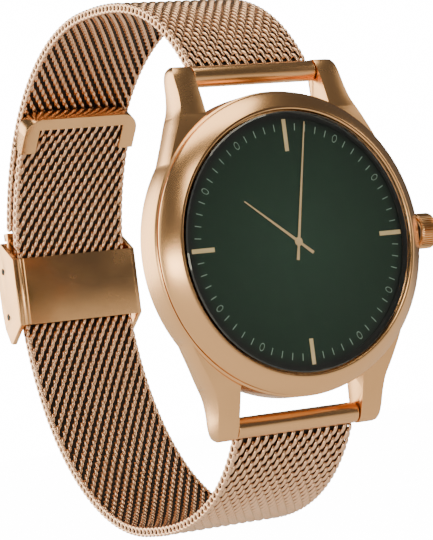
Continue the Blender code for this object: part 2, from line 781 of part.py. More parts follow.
def back_quarter(depth, height, sign, count=2000):
    """(y, z) points from the top or bottom of the loop to its back, at z = 0."""
    angle = np.linspace(0, pi / 2, count)[1:]
    return np.stack(
        [LOOP_CENTRE_Y + depth * np.sin(angle), sign * height * np.cos(angle)], axis=1
    )


class Route:
    """The middle line of a strap, measured along its length in millimetres."""

    def __init__(self, points):
        self.points = points
        steps = np.linalg.norm(np.diff(points, axis=0), axis=1)
        self.lengths = np.concatenate([[0.0], np.cumsum(steps)])

    def point(self, length):
        return np.array(
            [np.interp(length, self.lengths, self.points[:, axis]) for axis in (0, 1)]
        )

    def direction(self, length):
        step = self.point(length + 0.05) - self.point(length - 0.05)
        return step / np.linalg.norm(step)

    def side(self, length):
        """The unit vector to the left of the direction of travel."""
        along = self.direction(length)
        return np.array([-along[1], along[0]])

    def length_at_height(self, z, after):
        """The length at which the route passes height z, beyond the length after."""
        usable = self.lengths > after
        nearest = np.argmin(np.abs(self.points[usable, 1] - z))
        return self.lengths[usable][nearest]


upper_route = Route(
    np.concatenate([front_quarter(1), back_quarter(LOOP_DEPTH, LOOP_HEIGHT, 1)])
)
tail_quarter = back_quarter(LOOP_DEPTH - LAYER, LOOP_HEIGHT - LAYER, 1)[::-1]
lower_route = Route(
    np.concatenate(
        [front_quarter(-1), back_quarter(LOOP_DEPTH - LAYER, LOOP_HEIGHT, -1), tail_quarter[1:]]
    )
)
LOWER_TURN = lower_route.length_at_height(0, after=LOOP_HEIGHT)


def link_outline(route, start, end, thickness=STRAP_THICKNESS, gap=GAP):
    """A stretch of strap seen from the side, with round ends that roll on the next stretch."""
    half = thickness / 2
    first, last = start + gap / 2 + half, end - gap / 2 - half
    left, right = [], []
    for length in np.linspace(first, last, 7):
        left.append(route.point(length) + half * route.side(length))
        right.append(route.point(length) - half * route.side(length))

    def round_end(length, sense):
        middle, along, side = route.point(length), route.direction(length), route.side(length)
        angles = np.linspace(0, pi, 7)[1:-1]
        return [
            middle + half * (cos(angle) * side + sense * sin(angle) * along) for angle in angles
        ]

    outline = left + round_end(last, 1) + right[::-1] + round_end(first, -1)[::-1]
    return [(float(y), float(z)) for y, z in outline]


def strap_link(name, route, start, end, hinge):
    """One stretch of mesh, with its origin on the hinge that it turns about."""
    origin = route.point(hinge)
    return prism(name, link_outline(route, start, end), -STRAP_WIDTH / 2, STRAP_WIDTH / 2,
                 MESH_GOLD, origin=(float(origin[0]), float(origin[1])))


FRAME_TOP = 10.3
CLASP_LINK_HALF = 7.2
mesh_start = END_TUBE_RADIUS + GAP / 2
upper_end = upper_route.length_at_height(FRAME_TOP, after=LOOP_HEIGHT)
lower_end = lower_route.length_at_height(-CLASP_LINK_HALF, after=LOOP_HEIGHT)
tail_start = lower_route.length_at_height(CLASP_LINK_HALF, after=LOWER_TURN)
tail_end = lower_route.length_at_height(TAIL_TOP, after=LOWER_TURN)

for side, sign, route, end in (
    ("upper", 1, upper_route, upper_end),
    ("lower", -1, lower_route, lower_end),
):
    ring(f"{side}_end_tube", BAR_TIP_RADIUS + 0.55, END_TUBE_RADIUS, -TUBE_LENGTH / 2,
         TUBE_LENGTH / 2, ROSE_GOLD, centre=(0, BAR_Y, sign * BAR_Z), along="X", steps=24,
         chamfer=0.1)
    bounds = np.linspace(mesh_start, end, STRAP_LINKS + 1)
    for index in range(STRAP_LINKS):
        hinge = bounds[index] if index else 0.0
        strap_link(f"{side}_mesh_{index + 1}", route, bounds[index], bounds[index + 1], hinge)
    barrel = BAR_TIP_RADIUS + 0.35
    shoulder = TUBE_LENGTH / 2 - 0.6
    turned(
        f"{side}_spring_bar",
        [
            (0, BAR_REACH),
            (BAR_TIP_RADIUS, BAR_REACH - 0.1),
            (BAR_TIP_RADIUS, shoulder),
            (barrel, shoulder),
            (barrel, -shoulder),
            (BAR_TIP_RADIUS, -shoulder),
            (BAR_TIP_RADIUS, -BAR_REACH + 0.1),
            (0, -BAR_REACH),
        ],
        STEEL,
        centre=(0, BAR_Y, sign * BAR_Z),
        along="X",
        steps=SMALL,
    )

strap_link("clasp_mesh", lower_route, lower_end, tail_start, lower_end)
tail_bounds = np.linspace(tail_start, tail_end, TAIL_LINKS + 1)
for index in range(TAIL_LINKS):
    strap_link(f"tail_mesh_{index + 1}", lower_route, tail_bounds[index],
               tail_bounds[index + 1], tail_bounds[index])


# ---------------------------------------------------------------- end cap of the tail

CAP_SHEET = 0.35
CAP_PLAY = 0.15
CAP_SLOT = STRAP_THICKNESS + 2 * CAP_PLAY
CAP_DEPTH = 5.7
CAP_END = 0.6
CAP_HALF_WIDTH = STRAP_WIDTH / 2 + CAP_SHEET
CAP_CORNER = 3.0
CAP_LEG = 2.6
CAP_BAND = 2.0

cap_point = tail_end - CAP_DEPTH / 2
cap_origin = lower_route.point(cap_point)
cap_direction = lower_route.point(tail_end) - lower_route.point(tail_end - CAP_DEPTH)
cap_tilt = atan2(cap_direction[0], cap_direction[1])
cap_low = -CAP_DEPTH / 2
cap_high = CAP_DEPTH / 2 + CAP_END


def cap_outline():
    """The cap seen from the front: a plate with two round top corners."""
    points = [(-CAP_HALF_WIDTH, cap_low), (CAP_HALF_WIDTH, cap_low)]
    corner = CAP_HALF_WIDTH - CAP_CORNER
    for index in range(7):
        angle = pi / 2 * index / 6
        points.append((corner + CAP_CORNER * cos(angle),
                       cap_high - CAP_CORNER + CAP_CORNER * sin(angle)))
    for index in range(7):
        angle = pi / 2 + pi / 2 * index / 6
        points.append((-corner + CAP_CORNER * cos(angle),
                       cap_high - CAP_CORNER + CAP_CORNER * sin(angle)))
    return points


def tilt_about_cap(obj):
    """Stand a piece that was made upright at the origin along the end of the tail."""
    turn = obj.rotation_euler.to_matrix()
    lean = Vector((0, 0, 1)).rotation_difference(Vector((0, sin(cap_tilt), cos(cap_tilt))))
    obj.rotation_euler = (lean.to_matrix() @ turn).to_euler()
    place = lean @ obj.location
    obj.location = place + Vector((0, float(cap_origin[0]), float(cap_origin[1]))) * MM


cap_half = CAP_SLOT / 2 + CAP_SHEET
tail_end_cap = prism("tail_end_cap", cap_outline(), -cap_half, cap_half, ROSE_GOLD, plane="XZ")
cap_slot = box("cap_slot", (-STRAP_WIDTH / 2 - RUNNING, -CAP_SLOT / 2, cap_low - 1),
               (STRAP_WIDTH / 2 + RUNNING, CAP_SLOT / 2, cap_high - CAP_END + SEAT), None,
               collection=cutters)
cap_window = box("cap_window", (-CAP_HALF_WIDTH + CAP_LEG, -cap_half - 1, cap_low - 1),
                 (CAP_HALF_WIDTH - CAP_LEG, cap_half + 1, cap_high - CAP_BAND), None,
                 collection=cutters)
for piece in (tail_end_cap, cap_slot, cap_window):
    tilt_about_cap(piece)
add_boolean(tail_end_cap, cap_slot)
add_boolean(tail_end_cap, cap_window)


# ---------------------------------------------------------------- end frame of the upper strap

FRAME_HALF_WIDTH = STRAP_WIDTH / 2
FRAME_RAIL_LOW = 8.6
FRAME_BAR_LOW = 6.2
FRAME_BAR_HIGH = 7.1
FRAME_ARM = 1.6
FRAME_INNER = OUTER_STRAP_Y - STRAP_THICKNESS / 2
FRAME_OUTER = OUTER_STRAP_Y + STRAP_THICKNESS / 2 - 0.2
BAR_TOP = OUTER_STRAP_Y - 0.2

frame_top = FRAME_TOP - 1.5 * GAP
upper_end_frame = box("upper_end_frame", (-FRAME_HALF_WIDTH, FRAME_INNER, FRAME_BAR_LOW),
                      (FRAME_HALF_WIDTH, FRAME_OUTER, frame_top), ROSE_GOLD)
frame_window = box("frame_window", (-FRAME_HALF_WIDTH + FRAME_ARM, FRAME_INNER - 1,
                                    FRAME_BAR_HIGH),
                   (FRAME_HALF_WIDTH - FRAME_ARM, FRAME_OUTER + 1, FRAME_RAIL_LOW), None,
                   collection=cutters)
frame_step = box("frame_step", (-FRAME_HALF_WIDTH - 1, BAR_TOP, FRAME_BAR_LOW - 1),
                 (FRAME_HALF_WIDTH + 1, FRAME_OUTER + 1, FRAME_RAIL_LOW), None,
                 collection=cutters)
add_boolean(upper_end_frame, frame_window)
add_boolean(upper_end_frame, frame_step)


# ---------------------------------------------------------------- clasp

PIN_RADIUS = 0.5
pin_y = CLASP_Y + CLASP_PIN_HEIGHT
plate_outer = CLASP_Y - STRAP_THICKNESS / 2 - 0.6
plate_inner = plate_outer - CLASP_SHEET
half_length = CLASP_LENGTH / 2
wall_top = plate_inner + CLASP_HEIGHT


def wall_outline():
    """A side wall seen from the side, as (y, z): flared ends and a gently bowed outer edge."""
    flare = half_length + 2.85
    return [
        (plate_inner, -half_length),
        (CLASP_Y + 1.6, -flare),
        (CLASP_Y + 2.4, -flare + 0.2),
        (wall_top - 0.6, -flare + 2.6),
        (wall_top - 0.15, -2.6),
        (wall_top, 0.0),
        (wall_top - 0.15, 2.6),
        (wall_top - 0.6, flare - 2.6),
        (CLASP_Y + 2.4, flare - 0.2),
        (CLASP_Y + 1.6, flare),
        (plate_inner, half_length),
    ]


clasp_base = box("clasp_base", (-WALL_INNER - 0.1, plate_inner, -half_length),
                 (WALL_INNER + 0.1, plate_outer, half_length), ROSE_GOLD)
for side, sign in (("left", -1), ("right", 1)):
    low, high = sorted((sign * WALL_INNER, sign * WALL_OUTER))
    wall = prism(f"clasp_wall_{side}", wall_outline(), low, high, None, collection=cutters)
    add_bevel(wall, 0.12, segments=1)
    add_boolean(clasp_base, wall, "UNION")

clasp_hinges = (("cover", -CLASP_PIN_SPREAD), ("lock", CLASP_PIN_SPREAD))
for role, z in clasp_hinges:
    hole = rod(f"pin_hole_{role}", PIN_RADIUS + RUNNING / 2, -WALL_OUTER - 1, WALL_OUTER + 1,
               pin_y, z)
    add_boolean(clasp_base, hole)
    disc(f"clasp_{role}_pin", PIN_RADIUS, -WALL_OUTER - 0.05, WALL_OUTER + 0.05, STEEL,
         centre=(0, pin_y, z), along="X", steps=SMALL)

COVER_SHEET = 0.6
COVER_HALF_WIDTH = WALL_INNER - 0.2
COVER_TOP = 8.4
COVER_FOOT = -4.8
KNUCKLE_RADIUS = 1.0
cover_inner = OUTER_STRAP_Y + STRAP_THICKNESS / 2 + 0.35
cover_outer = cover_inner + COVER_SHEET


def knuckle_outline(z, reach_y, half_height):
    """A round eye on a pin, joined to a plate on its outer side."""
    points = []
    for index in range(9):
        angle = pi / 2 + pi * index / 8
        points.append((pin_y + KNUCKLE_RADIUS * cos(angle), z + KNUCKLE_RADIUS * sin(angle)))
    points.append((reach_y, z - half_height))
    points.append((reach_y, z + half_height))
    return points


clasp_cover = box("clasp_cover", (-COVER_HALF_WIDTH, cover_inner, COVER_FOOT),
                  (COVER_HALF_WIDTH, cover_outer, COVER_TOP), ROSE_GOLD)
cover_lip = box("cover_lip", (-COVER_HALF_WIDTH + 3.0, BAR_TOP + 0.35, COVER_TOP - 0.75),
                (COVER_HALF_WIDTH - 3.0, cover_inner + 0.2, COVER_TOP - 0.15), None,
                collection=cutters)
add_boolean(clasp_cover, cover_lip, "UNION")
for side, sign in (("left", -1), ("right", 1)):
    low, high = sorted((sign * (COVER_HALF_WIDTH - 1.4), sign * (COVER_HALF_WIDTH - 0.1)))
    ear = prism(f"cover_ear_{side}", knuckle_outline(-CLASP_PIN_SPREAD, cover_inner + 0.2,
                                                     KNUCKLE_RADIUS),
                low, high, None, collection=cutters)
    add_boolean(clasp_cover, ear, "UNION")
cover_drill = rod("cover_drill", PIN_RADIUS + RUNNING, -WALL_OUTER, WALL_OUTER, pin_y,
                  -CLASP_PIN_SPREAD)
add_boolean(clasp_cover, cover_drill)
attach(joint_empty("clasp_cover_axis", 0, pin_y, -CLASP_PIN_SPREAD), clasp_cover)

LOCK_HALF_WIDTH = WALL_INNER - 0.25
lock_inner = CLASP_Y + STRAP_THICKNESS / 2 + 0.4
lock_outer = lock_inner + 0.5
LOCK_FOOT = -2.3
lock_plate = box("clasp_lock_plate", (-LOCK_HALF_WIDTH, lock_inner, LOCK_FOOT),
                 (LOCK_HALF_WIDTH, lock_outer, CLASP_PIN_SPREAD - 0.6), ROSE_GOLD)
knuckle = rod("lock_knuckle", 0.75, -LOCK_HALF_WIDTH, LOCK_HALF_WIDTH, pin_y, CLASP_PIN_SPREAD)
add_boolean(lock_plate, knuckle, "UNION")
lock_drill = rod("lock_drill", PIN_RADIUS + RUNNING / 2, -WALL_OUTER, WALL_OUTER, pin_y,
                 CLASP_PIN_SPREAD)
add_boolean(lock_plate, lock_drill)
attach(joint_empty("clasp_lock_axis", 0, pin_y, CLASP_PIN_SPREAD), lock_plate)

# The pieces that stay meshes are shaded smooth across their rounded parts.
for piece in watch.objects:
    if piece.type == "MESH" and not piece.data.polygons:
        continue
    if piece.type == "MESH":
        smooth(piece)
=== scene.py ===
import json
from math import cos, pi, radians, sin

import bpy
from mathutils import Matrix, Vector


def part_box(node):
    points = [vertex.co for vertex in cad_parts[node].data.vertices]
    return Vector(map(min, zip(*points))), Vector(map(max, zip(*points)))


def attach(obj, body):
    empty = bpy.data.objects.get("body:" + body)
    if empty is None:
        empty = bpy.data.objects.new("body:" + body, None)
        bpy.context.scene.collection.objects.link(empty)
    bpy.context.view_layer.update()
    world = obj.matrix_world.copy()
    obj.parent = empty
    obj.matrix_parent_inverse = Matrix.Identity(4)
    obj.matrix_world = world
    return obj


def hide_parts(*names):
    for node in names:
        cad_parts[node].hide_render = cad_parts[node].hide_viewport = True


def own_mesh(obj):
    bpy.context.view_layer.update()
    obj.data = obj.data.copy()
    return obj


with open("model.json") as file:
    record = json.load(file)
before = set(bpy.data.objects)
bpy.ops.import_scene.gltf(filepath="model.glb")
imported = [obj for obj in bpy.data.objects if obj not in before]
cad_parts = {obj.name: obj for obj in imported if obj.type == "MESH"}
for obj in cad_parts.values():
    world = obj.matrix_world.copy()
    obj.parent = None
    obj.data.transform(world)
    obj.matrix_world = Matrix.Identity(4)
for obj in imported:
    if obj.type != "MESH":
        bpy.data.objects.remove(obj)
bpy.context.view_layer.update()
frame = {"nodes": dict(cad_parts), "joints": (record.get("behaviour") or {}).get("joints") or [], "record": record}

bpy.ops.object.select_all(action="DESELECT")
nodes = frame["nodes"]
joint_place = {joint["name"]: Vector(joint.get("pos_m", (0, 0, 0))) for joint in frame["joints"]}


# ---------------------------------------------------------------- Case ring
# The middle of the case is one forged ring of stainless steel, plated rose gold. It is turned,
# its sides are brushed along the rim and its front shoulder is polished where the bezel sits.

case_low, case_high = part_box("case_body")
bezel_low, bezel_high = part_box("bezel")
CASE_RADIUS = 0.0215
CASE_FRONT = case_low.y
CASE_REAR = -0.0016
REAR_RADIUS = 0.0202
SIDE_REAR = -0.0030
RIM_CHAMFER = 0.00025
BORE_RADIUS = 0.0176


def turned(name, rings, steps=160, along="Y", centre=(0.0, 0.0, 0.0), closed=True):
    """Draw a circle out ring by ring, each a radius and a depth, the way it is turned."""
    centre = Vector(centre)
    lean = {"Y": (pi / 2, 0, 0), "X": (0, pi / 2, 0)}[along]
    direction = {"Y": Vector((0, 1, 0)), "X": Vector((1, 0, 0))}[along]
    radius, depth = rings[0]
    bpy.ops.object.select_all(action="DESELECT")
    bpy.ops.mesh.primitive_circle_add(vertices=steps, radius=radius, rotation=lean,
                                      location=centre + direction * depth)
    piece = bpy.context.object
    piece.name = piece.data.name = name
    bpy.ops.object.transform_apply(location=True, rotation=True, scale=True)
    bpy.ops.object.mode_set(mode="EDIT")
    bpy.ops.mesh.select_all(action="SELECT")
    if not closed:
        bpy.ops.mesh.edge_face_add()
    for next_radius, next_depth in rings[1:]:
        step = direction * (next_depth - depth)
        grow = next_radius / radius
        bpy.ops.mesh.extrude_region_move(TRANSFORM_OT_translate={"value": step})
        spread = (grow, 1, grow) if along == "Y" else (1, grow, grow)
        bpy.ops.transform.resize(value=spread, center_override=centre + direction * next_depth)
        radius, depth = next_radius, next_depth
    bpy.ops.mesh.select_all(action="SELECT")
    bpy.ops.mesh.remove_doubles(threshold=1e-7)
    bpy.ops.mesh.normals_make_consistent(inside=False)
    bpy.ops.object.mode_set(mode="OBJECT")
    return piece


def use_modifier(piece, kind, **settings):
    """Add one modifier, set it and apply it."""
    bpy.ops.object.select_all(action="DESELECT")
    piece.select_set(True)
    bpy.context.view_layer.objects.active = piece
    modifier = piece.modifiers.new(kind.lower(), kind)
    for setting, value in settings.items():
        setattr(modifier, setting, value)
    bpy.ops.object.modifier_apply(modifier=modifier.name)
    return piece


def soften(piece, width, segments=3, angle=30):
    """Round a piece's sharp edges a little, and shade the rest of it smooth."""
    use_modifier(piece, "BEVEL", width=width, segments=segments, limit_method="ANGLE",
                 angle_limit=radians(angle), harden_normals=False)
    bpy.ops.object.shade_smooth_by_angle(angle=radians(32))
    return piece


def join_to(piece, other, operation="UNION"):
    """Join another piece to this one, or cut it away, and take the other one off the bench."""
    use_modifier(piece, "BOOLEAN", operation=operation, solver="EXACT", object=other)
    bpy.data.objects.remove(other, do_unlink=True)
    return piece


def new_group(name, inputs, outputs):
    """A shader node group with named, typed inputs and outputs."""
    group = bpy.data.node_groups.new(name, "ShaderNodeTree")
    for label, kind, value in inputs:
        socket = group.interface.new_socket(label, in_out="INPUT", socket_type=kind)
        if value is not None:
            socket.default_value = value
    for label, kind in outputs:
        group.interface.new_socket(label, in_out="OUTPUT", socket_type=kind)
    return group, group.nodes.new("NodeGroupInput"), group.nodes.new("NodeGroupOutput")


def add_node(tree, kind, settings=None, **values):
    """Add a node, set its properties and its named sockets."""
    node = tree.nodes.new(kind)
    for setting, value in (settings or {}).items():
        setattr(node, setting, value)
    for label, value in values.items():
        node.inputs[label.replace("_", " ")].default_value = value
    return node


FLOAT, COLOUR, VECTOR = "NodeSocketFloat", "NodeSocketColor", "NodeSocketVector"

# Brushing: a stretched noise gives fine lines, a broad one gives the haze of handling.
brushing, group_in, group_out = new_group(
    "brushing",
    [("Vector", VECTOR, None), ("Metal", COLOUR, (0.8, 0.8, 0.8, 1)),
     ("Haze", COLOUR, (0.7, 0.7, 0.7, 1)), ("Smooth", FLOAT, 0.2), ("Dull", FLOAT, 0.35),
     ("Depth", FLOAT, 0.1)],
    [("Colour", COLOUR), ("Roughness", FLOAT), ("Height", FLOAT)],
)
lines = add_node(brushing, "ShaderNodeTexNoise", Scale=1.0, Detail=3.0, Roughness=0.6)
haze = add_node(brushing, "ShaderNodeTexNoise", Scale=0.02, Detail=4.0, Roughness=0.55)
haze_range = add_node(brushing, "ShaderNodeMapRange", From_Min=0.35, From_Max=0.65)
colour_mix = add_node(brushing, "ShaderNodeMix", {"data_type": "RGBA"})
rough_mix = add_node(brushing, "ShaderNodeMix", {"data_type": "FLOAT"})
line_rough = add_node(brushing, "ShaderNodeMapRange", To_Min=-0.015, To_Max=0.015)
rough_sum = add_node(brushing, "ShaderNodeMath", {"operation": "ADD", "use_clamp": True})
height = add_node(brushing, "ShaderNodeMath", {"operation": "MULTIPLY"})
brushing.links.new(group_in.outputs["Vector"], lines.inputs["Vector"])
brushing.links.new(group_in.outputs["Vector"], haze.inputs["Vector"])
brushing.links.new(haze.outputs["Fac"], haze_range.inputs["Value"])
brushing.links.new(haze_range.outputs["Result"], colour_mix.inputs[0])
brushing.links.new(group_in.outputs["Metal"], colour_mix.inputs[6])
brushing.links.new(group_in.outputs["Haze"], colour_mix.inputs[7])
brushing.links.new(haze_range.outputs["Result"], rough_mix.inputs[0])
brushing.links.new(group_in.outputs["Smooth"], rough_mix.inputs[2])
brushing.links.new(group_in.outputs["Dull"], rough_mix.inputs[3])
brushing.links.new(lines.outputs["Fac"], line_rough.inputs["Value"])
brushing.links.new(rough_mix.outputs[0], rough_sum.inputs[0])
brushing.links.new(line_rough.outputs["Result"], rough_sum.inputs[1])
brushing.links.new(lines.outputs["Fac"], height.inputs[0])
brushing.links.new(group_in.outputs["Depth"], height.inputs[1])
brushing.links.new(colour_mix.outputs[2], group_out.inputs["Colour"])
brushing.links.new(rough_sum.outputs["Value"], group_out.inputs["Roughness"])
brushing.links.new(height.outputs["Value"], group_out.inputs["Height"])

# Round brushing reads the radius and the angle in place of the plain position.
round_place, group_in, group_out = new_group(
    "round_place", [("Vector", VECTOR, None)], [("Vector", VECTOR)]
)
split = add_node(round_place, "ShaderNodeSeparateXYZ")
angle = add_node(round_place, "ShaderNodeMath", {"operation": "ARCTAN2"})
flat = add_node(round_place, "ShaderNodeCombineXYZ")
reach = add_node(round_place, "ShaderNodeVectorMath", {"operation": "LENGTH"})
arc = add_node(round_place, "ShaderNodeMath", {"operation": "MULTIPLY"})
arc.inputs[1].default_value = 0.02
placed = add_node(round_place, "ShaderNodeCombineXYZ")
round_place.links.new(group_in.outputs["Vector"], split.inputs["Vector"])
round_place.links.new(split.outputs["X"], angle.inputs[0])
round_place.links.new(split.outputs["Z"], angle.inputs[1])
round_place.links.new(split.outputs["X"], flat.inputs["X"])
round_place.links.new(split.outputs["Z"], flat.inputs["Z"])
round_place.links.new(flat.outputs["Vector"], reach.inputs[0])
round_place.links.new(angle.outputs["Value"], arc.inputs[0])
round_place.links.new(reach.outputs["Value"], placed.inputs["X"])
round_place.links.new(split.outputs["Y"], placed.inputs["Y"])
round_place.links.new(arc.outputs["Value"], placed.inputs["Z"])
round_place.links.new(placed.outputs["Vector"], group_out.inputs["Vector"])


def new_material(name, **inputs):
    """A material, its node tree and its shader, with some of the shader's inputs set."""
    material = bpy.data.materials.new(name)
    material.use_nodes = True
    shader = material.node_tree.nodes["Principled BSDF"]
    for label, value in inputs.items():
        shader.inputs[label.replace("_", " ")].default_value = value
    return material, material.node_tree, shader


def metal(name, colour, haze_colour, smooth, dull, lines_across=(2e4, 2e4, 2e3), depth=0.1,
          round_lines=False):
    """A brushed metal: lines_across is how fine its lines are along X, Y and Z."""
    material, tree, shader = new_material(name, Metallic=1.0)
    place = add_node(tree, "ShaderNodeTexCoord").outputs["Object"]
    if round_lines:
        turn = add_node(tree, "ShaderNodeGroup", {"node_tree": round_place})
        tree.links.new(place, turn.inputs["Vector"])
        place = turn.outputs["Vector"]
    fine = add_node(tree, "ShaderNodeMapping", Scale=lines_across)
    finish = add_node(tree, "ShaderNodeGroup", {"node_tree": brushing}, Metal=(*colour, 1),
                      Haze=(*haze_colour, 1), Smooth=smooth, Dull=dull, Depth=depth)
    bump = add_node(tree, "ShaderNodeBump", Strength=0.12, Distance=0.000004)
    tree.links.new(place, fine.inputs["Vector"])
    tree.links.new(fine.outputs["Vector"], finish.inputs["Vector"])
    tree.links.new(finish.outputs["Colour"], shader.inputs["Base Color"])
    tree.links.new(finish.outputs["Roughness"], shader.inputs["Roughness"])
    tree.links.new(finish.outputs["Height"], bump.inputs["Height"])
    tree.links.new(bump.outputs["Normal"], shader.inputs["Normal"])
    return material


def dress(piece, material, body, slot_name, *stands_for):
    """Give a finished piece its material, its body and the nodes that it stands for."""
    piece.data.materials.clear()
    piece.data.materials.append(material)
    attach(piece, body)
    if stands_for:
        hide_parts(*stands_for)
    return piece


ROSE, ROSE_HAZE = (0.86, 0.485, 0.23), (0.83, 0.46, 0.215)
case_metal = metal("case_rose_gold", ROSE, ROSE_HAZE, 0.24, 0.30,
                   lines_across=(3e3, 9e3, 3e2), round_lines=True)

case = turned(
    "case_ring",
    [
        (BORE_RADIUS, CASE_REAR),
        (REAR_RADIUS, CASE_REAR),
        (0.0204, -0.00178),
        (CASE_RADIUS, SIDE_REAR),
        (CASE_RADIUS, CASE_FRONT + RIM_CHAMFER),
        (CASE_RADIUS - RIM_CHAMFER, CASE_FRONT),
        (BORE_RADIUS, CASE_FRONT),
        (BORE_RADIUS, CASE_REAR),
    ],
    steps=192,
)


# ---------------------------------------------------------------- Lugs
# Four lugs are forged in one with the ring. Each leans back from the front shoulder to hold the
# spring bar, with a crisp edge between its sloping face and the flank that sweeps into the rim.

BAR_Y, BAR_Z = joint_place["upper_strap_swing"].yz
LUG_INSIDE = 0.0102
LUG_OUTSIDE = 0.0205
LUG_TIP = case_high.z
PLATE_EDGE = 0.009
HOLE_RADIUS, HOLE_START, HOLE_END = 0.0005, 0.0095, 0.0119


def eased(points, steps=4):
    """Draw a smooth line through a few points."""
    line = []
    for index in range(len(points) - 1):
        before = Vector(points[max(index - 1, 0)])
        first, second = Vector(points[index]), Vector(points[index + 1])
        after = Vector(points[min(index + 2, len(points) - 1)])
        for step in range(steps):
            share = step / steps
            line.append(
                0.5 * (2 * first + (second - before) * share
                       + (2 * before - 5 * first + 4 * second - after) * share ** 2
                       + (3 * first - before - 3 * second + after) * share ** 3)
            )
    line.append(Vector(points[-1]))
    return [tuple(point) for point in line]


def cut_out(name, outline, low, high, plane="YZ"):
    """Saw a flat outline out of a plate: the outline is in plane, its thickness across it."""
    bpy.ops.object.select_all(action="DESELECT")
    bpy.ops.mesh.primitive_circle_add(vertices=len(outline), fill_type="NGON")
    piece = bpy.context.object
    piece.name = piece.data.name = name
    for vertex, (first, second) in zip(piece.data.vertices, outline):
        vertex.co = {"YZ": (low, first, second), "XZ": (first, low, second),
                     "XY": (first, second, low)}[plane]
    across = {"YZ": (high - low, 0, 0), "XZ": (0, high - low, 0), "XY": (0, 0, high - low)}[plane]
    bpy.ops.object.mode_set(mode="EDIT")
    bpy.ops.mesh.select_all(action="SELECT")
    bpy.ops.mesh.extrude_region_move(TRANSFORM_OT_translate={"value": across})
    bpy.ops.mesh.select_all(action="SELECT")
    bpy.ops.mesh.normals_make_consistent(inside=False)
    bpy.ops.object.mode_set(mode="OBJECT")
    return piece


def close_ends():
    """Close the open ends of the piece in hand with flat faces."""
    bpy.ops.object.mode_set(mode="EDIT")
    bpy.ops.mesh.select_all(action="SELECT")
    bpy.ops.mesh.fill_holes(sides=0)
    bpy.ops.mesh.normals_make_consistent(inside=False)
    bpy.ops.object.mode_set(mode="OBJECT")


lug_back = [(-0.0030, 0.0120), (-0.0026, 0.0150), (BAR_Y + 0.0009, 0.0190),
            (BAR_Y + 0.0012, 0.0232), (BAR_Y + 0.00115, BAR_Z + 0.0006),
            (BAR_Y + 0.0008, LUG_TIP - 0.0003), (BAR_Y + 0.0001, LUG_TIP)]
lug_front = [(BAR_Y - 0.0008, LUG_TIP - 0.0002), (BAR_Y - 0.0015, BAR_Z + 0.0004),
             (BAR_Y - 0.0026, 0.0223), (BAR_Y - 0.0034, 0.0198), (BAR_Y - 0.0039, 0.0179),
             (BAR_Y - 0.0043, 0.0150), (BAR_Y - 0.0045, 0.0120)]
lug_flank = [(0.0187, 0.0094), (0.0175, 0.0125), (0.0164, 0.0150), (0.0150, 0.0179),
             (0.01405, 0.0200), (0.01368, 0.0221), (0.0136, 0.0242), (0.0134, LUG_TIP - 0.0008),
             (0.0130, LUG_TIP - 0.0001), (0.0126, LUG_TIP + 0.0003)]
lug_side = eased(lug_back) + eased(lug_front)
lug_plan = ([(LUG_INSIDE, LUG_TIP + 0.0003), (LUG_INSIDE, 0.0152), (0.0172, 0.0080)]
            + eased(lug_flank))
for east in (1, -1):
    for north in (1, -1):
        lug = cut_out("lug", [(y, z * north) for y, z in lug_side], east * PLATE_EDGE,
                      east * LUG_OUTSIDE)
        plan = cut_out("lug_plan", [(x * east, z * north) for x, z in lug_plan], -PLATE_EDGE,
                       0.0, plane="XZ")
        join_to(lug, plan, "INTERSECT")
        join_to(case, lug)
for bar_end in (BAR_Z, -BAR_Z):
    for east in (1, -1):
        hole = turned("bar_hole",
                      [(HOLE_RADIUS, east * HOLE_START), (HOLE_RADIUS, east * HOLE_END)],
                      steps=24, along="X", centre=(0, BAR_Y, bar_end), closed=False)
        close_ends()
        join_to(case, hole, "DIFFERENCE")
soften(case, 0.00014, segments=2)
dress(case, case_metal, "case", "rose_gold", "case_body")


# ---------------------------------------------------------------- Bezel
# The bezel is a turned ring with a broad sloping face, brushed round its axis and plated like
# the case. It presses on to the case over a thin shadow gap and holds the glass in its lip.

bezel_metal = metal("bezel_rose_gold", ROSE, ROSE_HAZE, 0.20, 0.27,
                    lines_across=(1.2e4, 6e3, 3e2), round_lines=True)
BEZEL_FOOT, BEZEL_TOP = bezel_high.y, bezel_low.y
BEZEL_RADIUS = bezel_high.x
BEZEL_INSIDE = 0.01785
BEZEL_LIP = 0.0185
LIP_SHELF = -0.0089
bezel = turned(
    "bezel_ring",
    [
        (BEZEL_INSIDE, BEZEL_FOOT),
        (BEZEL_RADIUS - 0.0001, BEZEL_FOOT),
        (BEZEL_RADIUS, BEZEL_FOOT - 0.0001),
        (BEZEL_RADIUS, BEZEL_FOOT - 0.0004),
        (BEZEL_RADIUS - 0.0002, BEZEL_FOOT - 0.0007),
        (0.0190, BEZEL_TOP + 0.00004),
        (0.0187, BEZEL_TOP),
        (BEZEL_LIP, BEZEL_TOP + 0.00015),
        (BEZEL_LIP, LIP_SHELF),
        (BEZEL_INSIDE, LIP_SHELF),
        (BEZEL_INSIDE, BEZEL_FOOT),
    ],
    steps=224,
)
soften(bezel, 0.00012, segments=3, angle=20)
dress(bezel, bezel_metal, "case", "rose_gold", "bezel")


# ---------------------------------------------------------------- Cover glass
# A flat disc of hardened glass with a small chamfer. A black border is printed round the edge of
# its inner face, over the adhesive, and the gasket seals it against the bezel's shelf.

glass_low, glass_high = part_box("cover_glass")
GLASS_RADIUS = glass_high.x
glass = turned(
    "front_glass",
    [
        (GLASS_RADIUS - 0.0002, glass_low.y),
        (GLASS_RADIUS, glass_low.y + 0.0002),
        (GLASS_RADIUS, glass_high.y - 0.0001),
        (GLASS_RADIUS - 0.0001, glass_high.y),
    ],
    steps=192,
    closed=False,
)
close_ends()
bpy.ops.object.shade_smooth_by_angle(angle=radians(20))


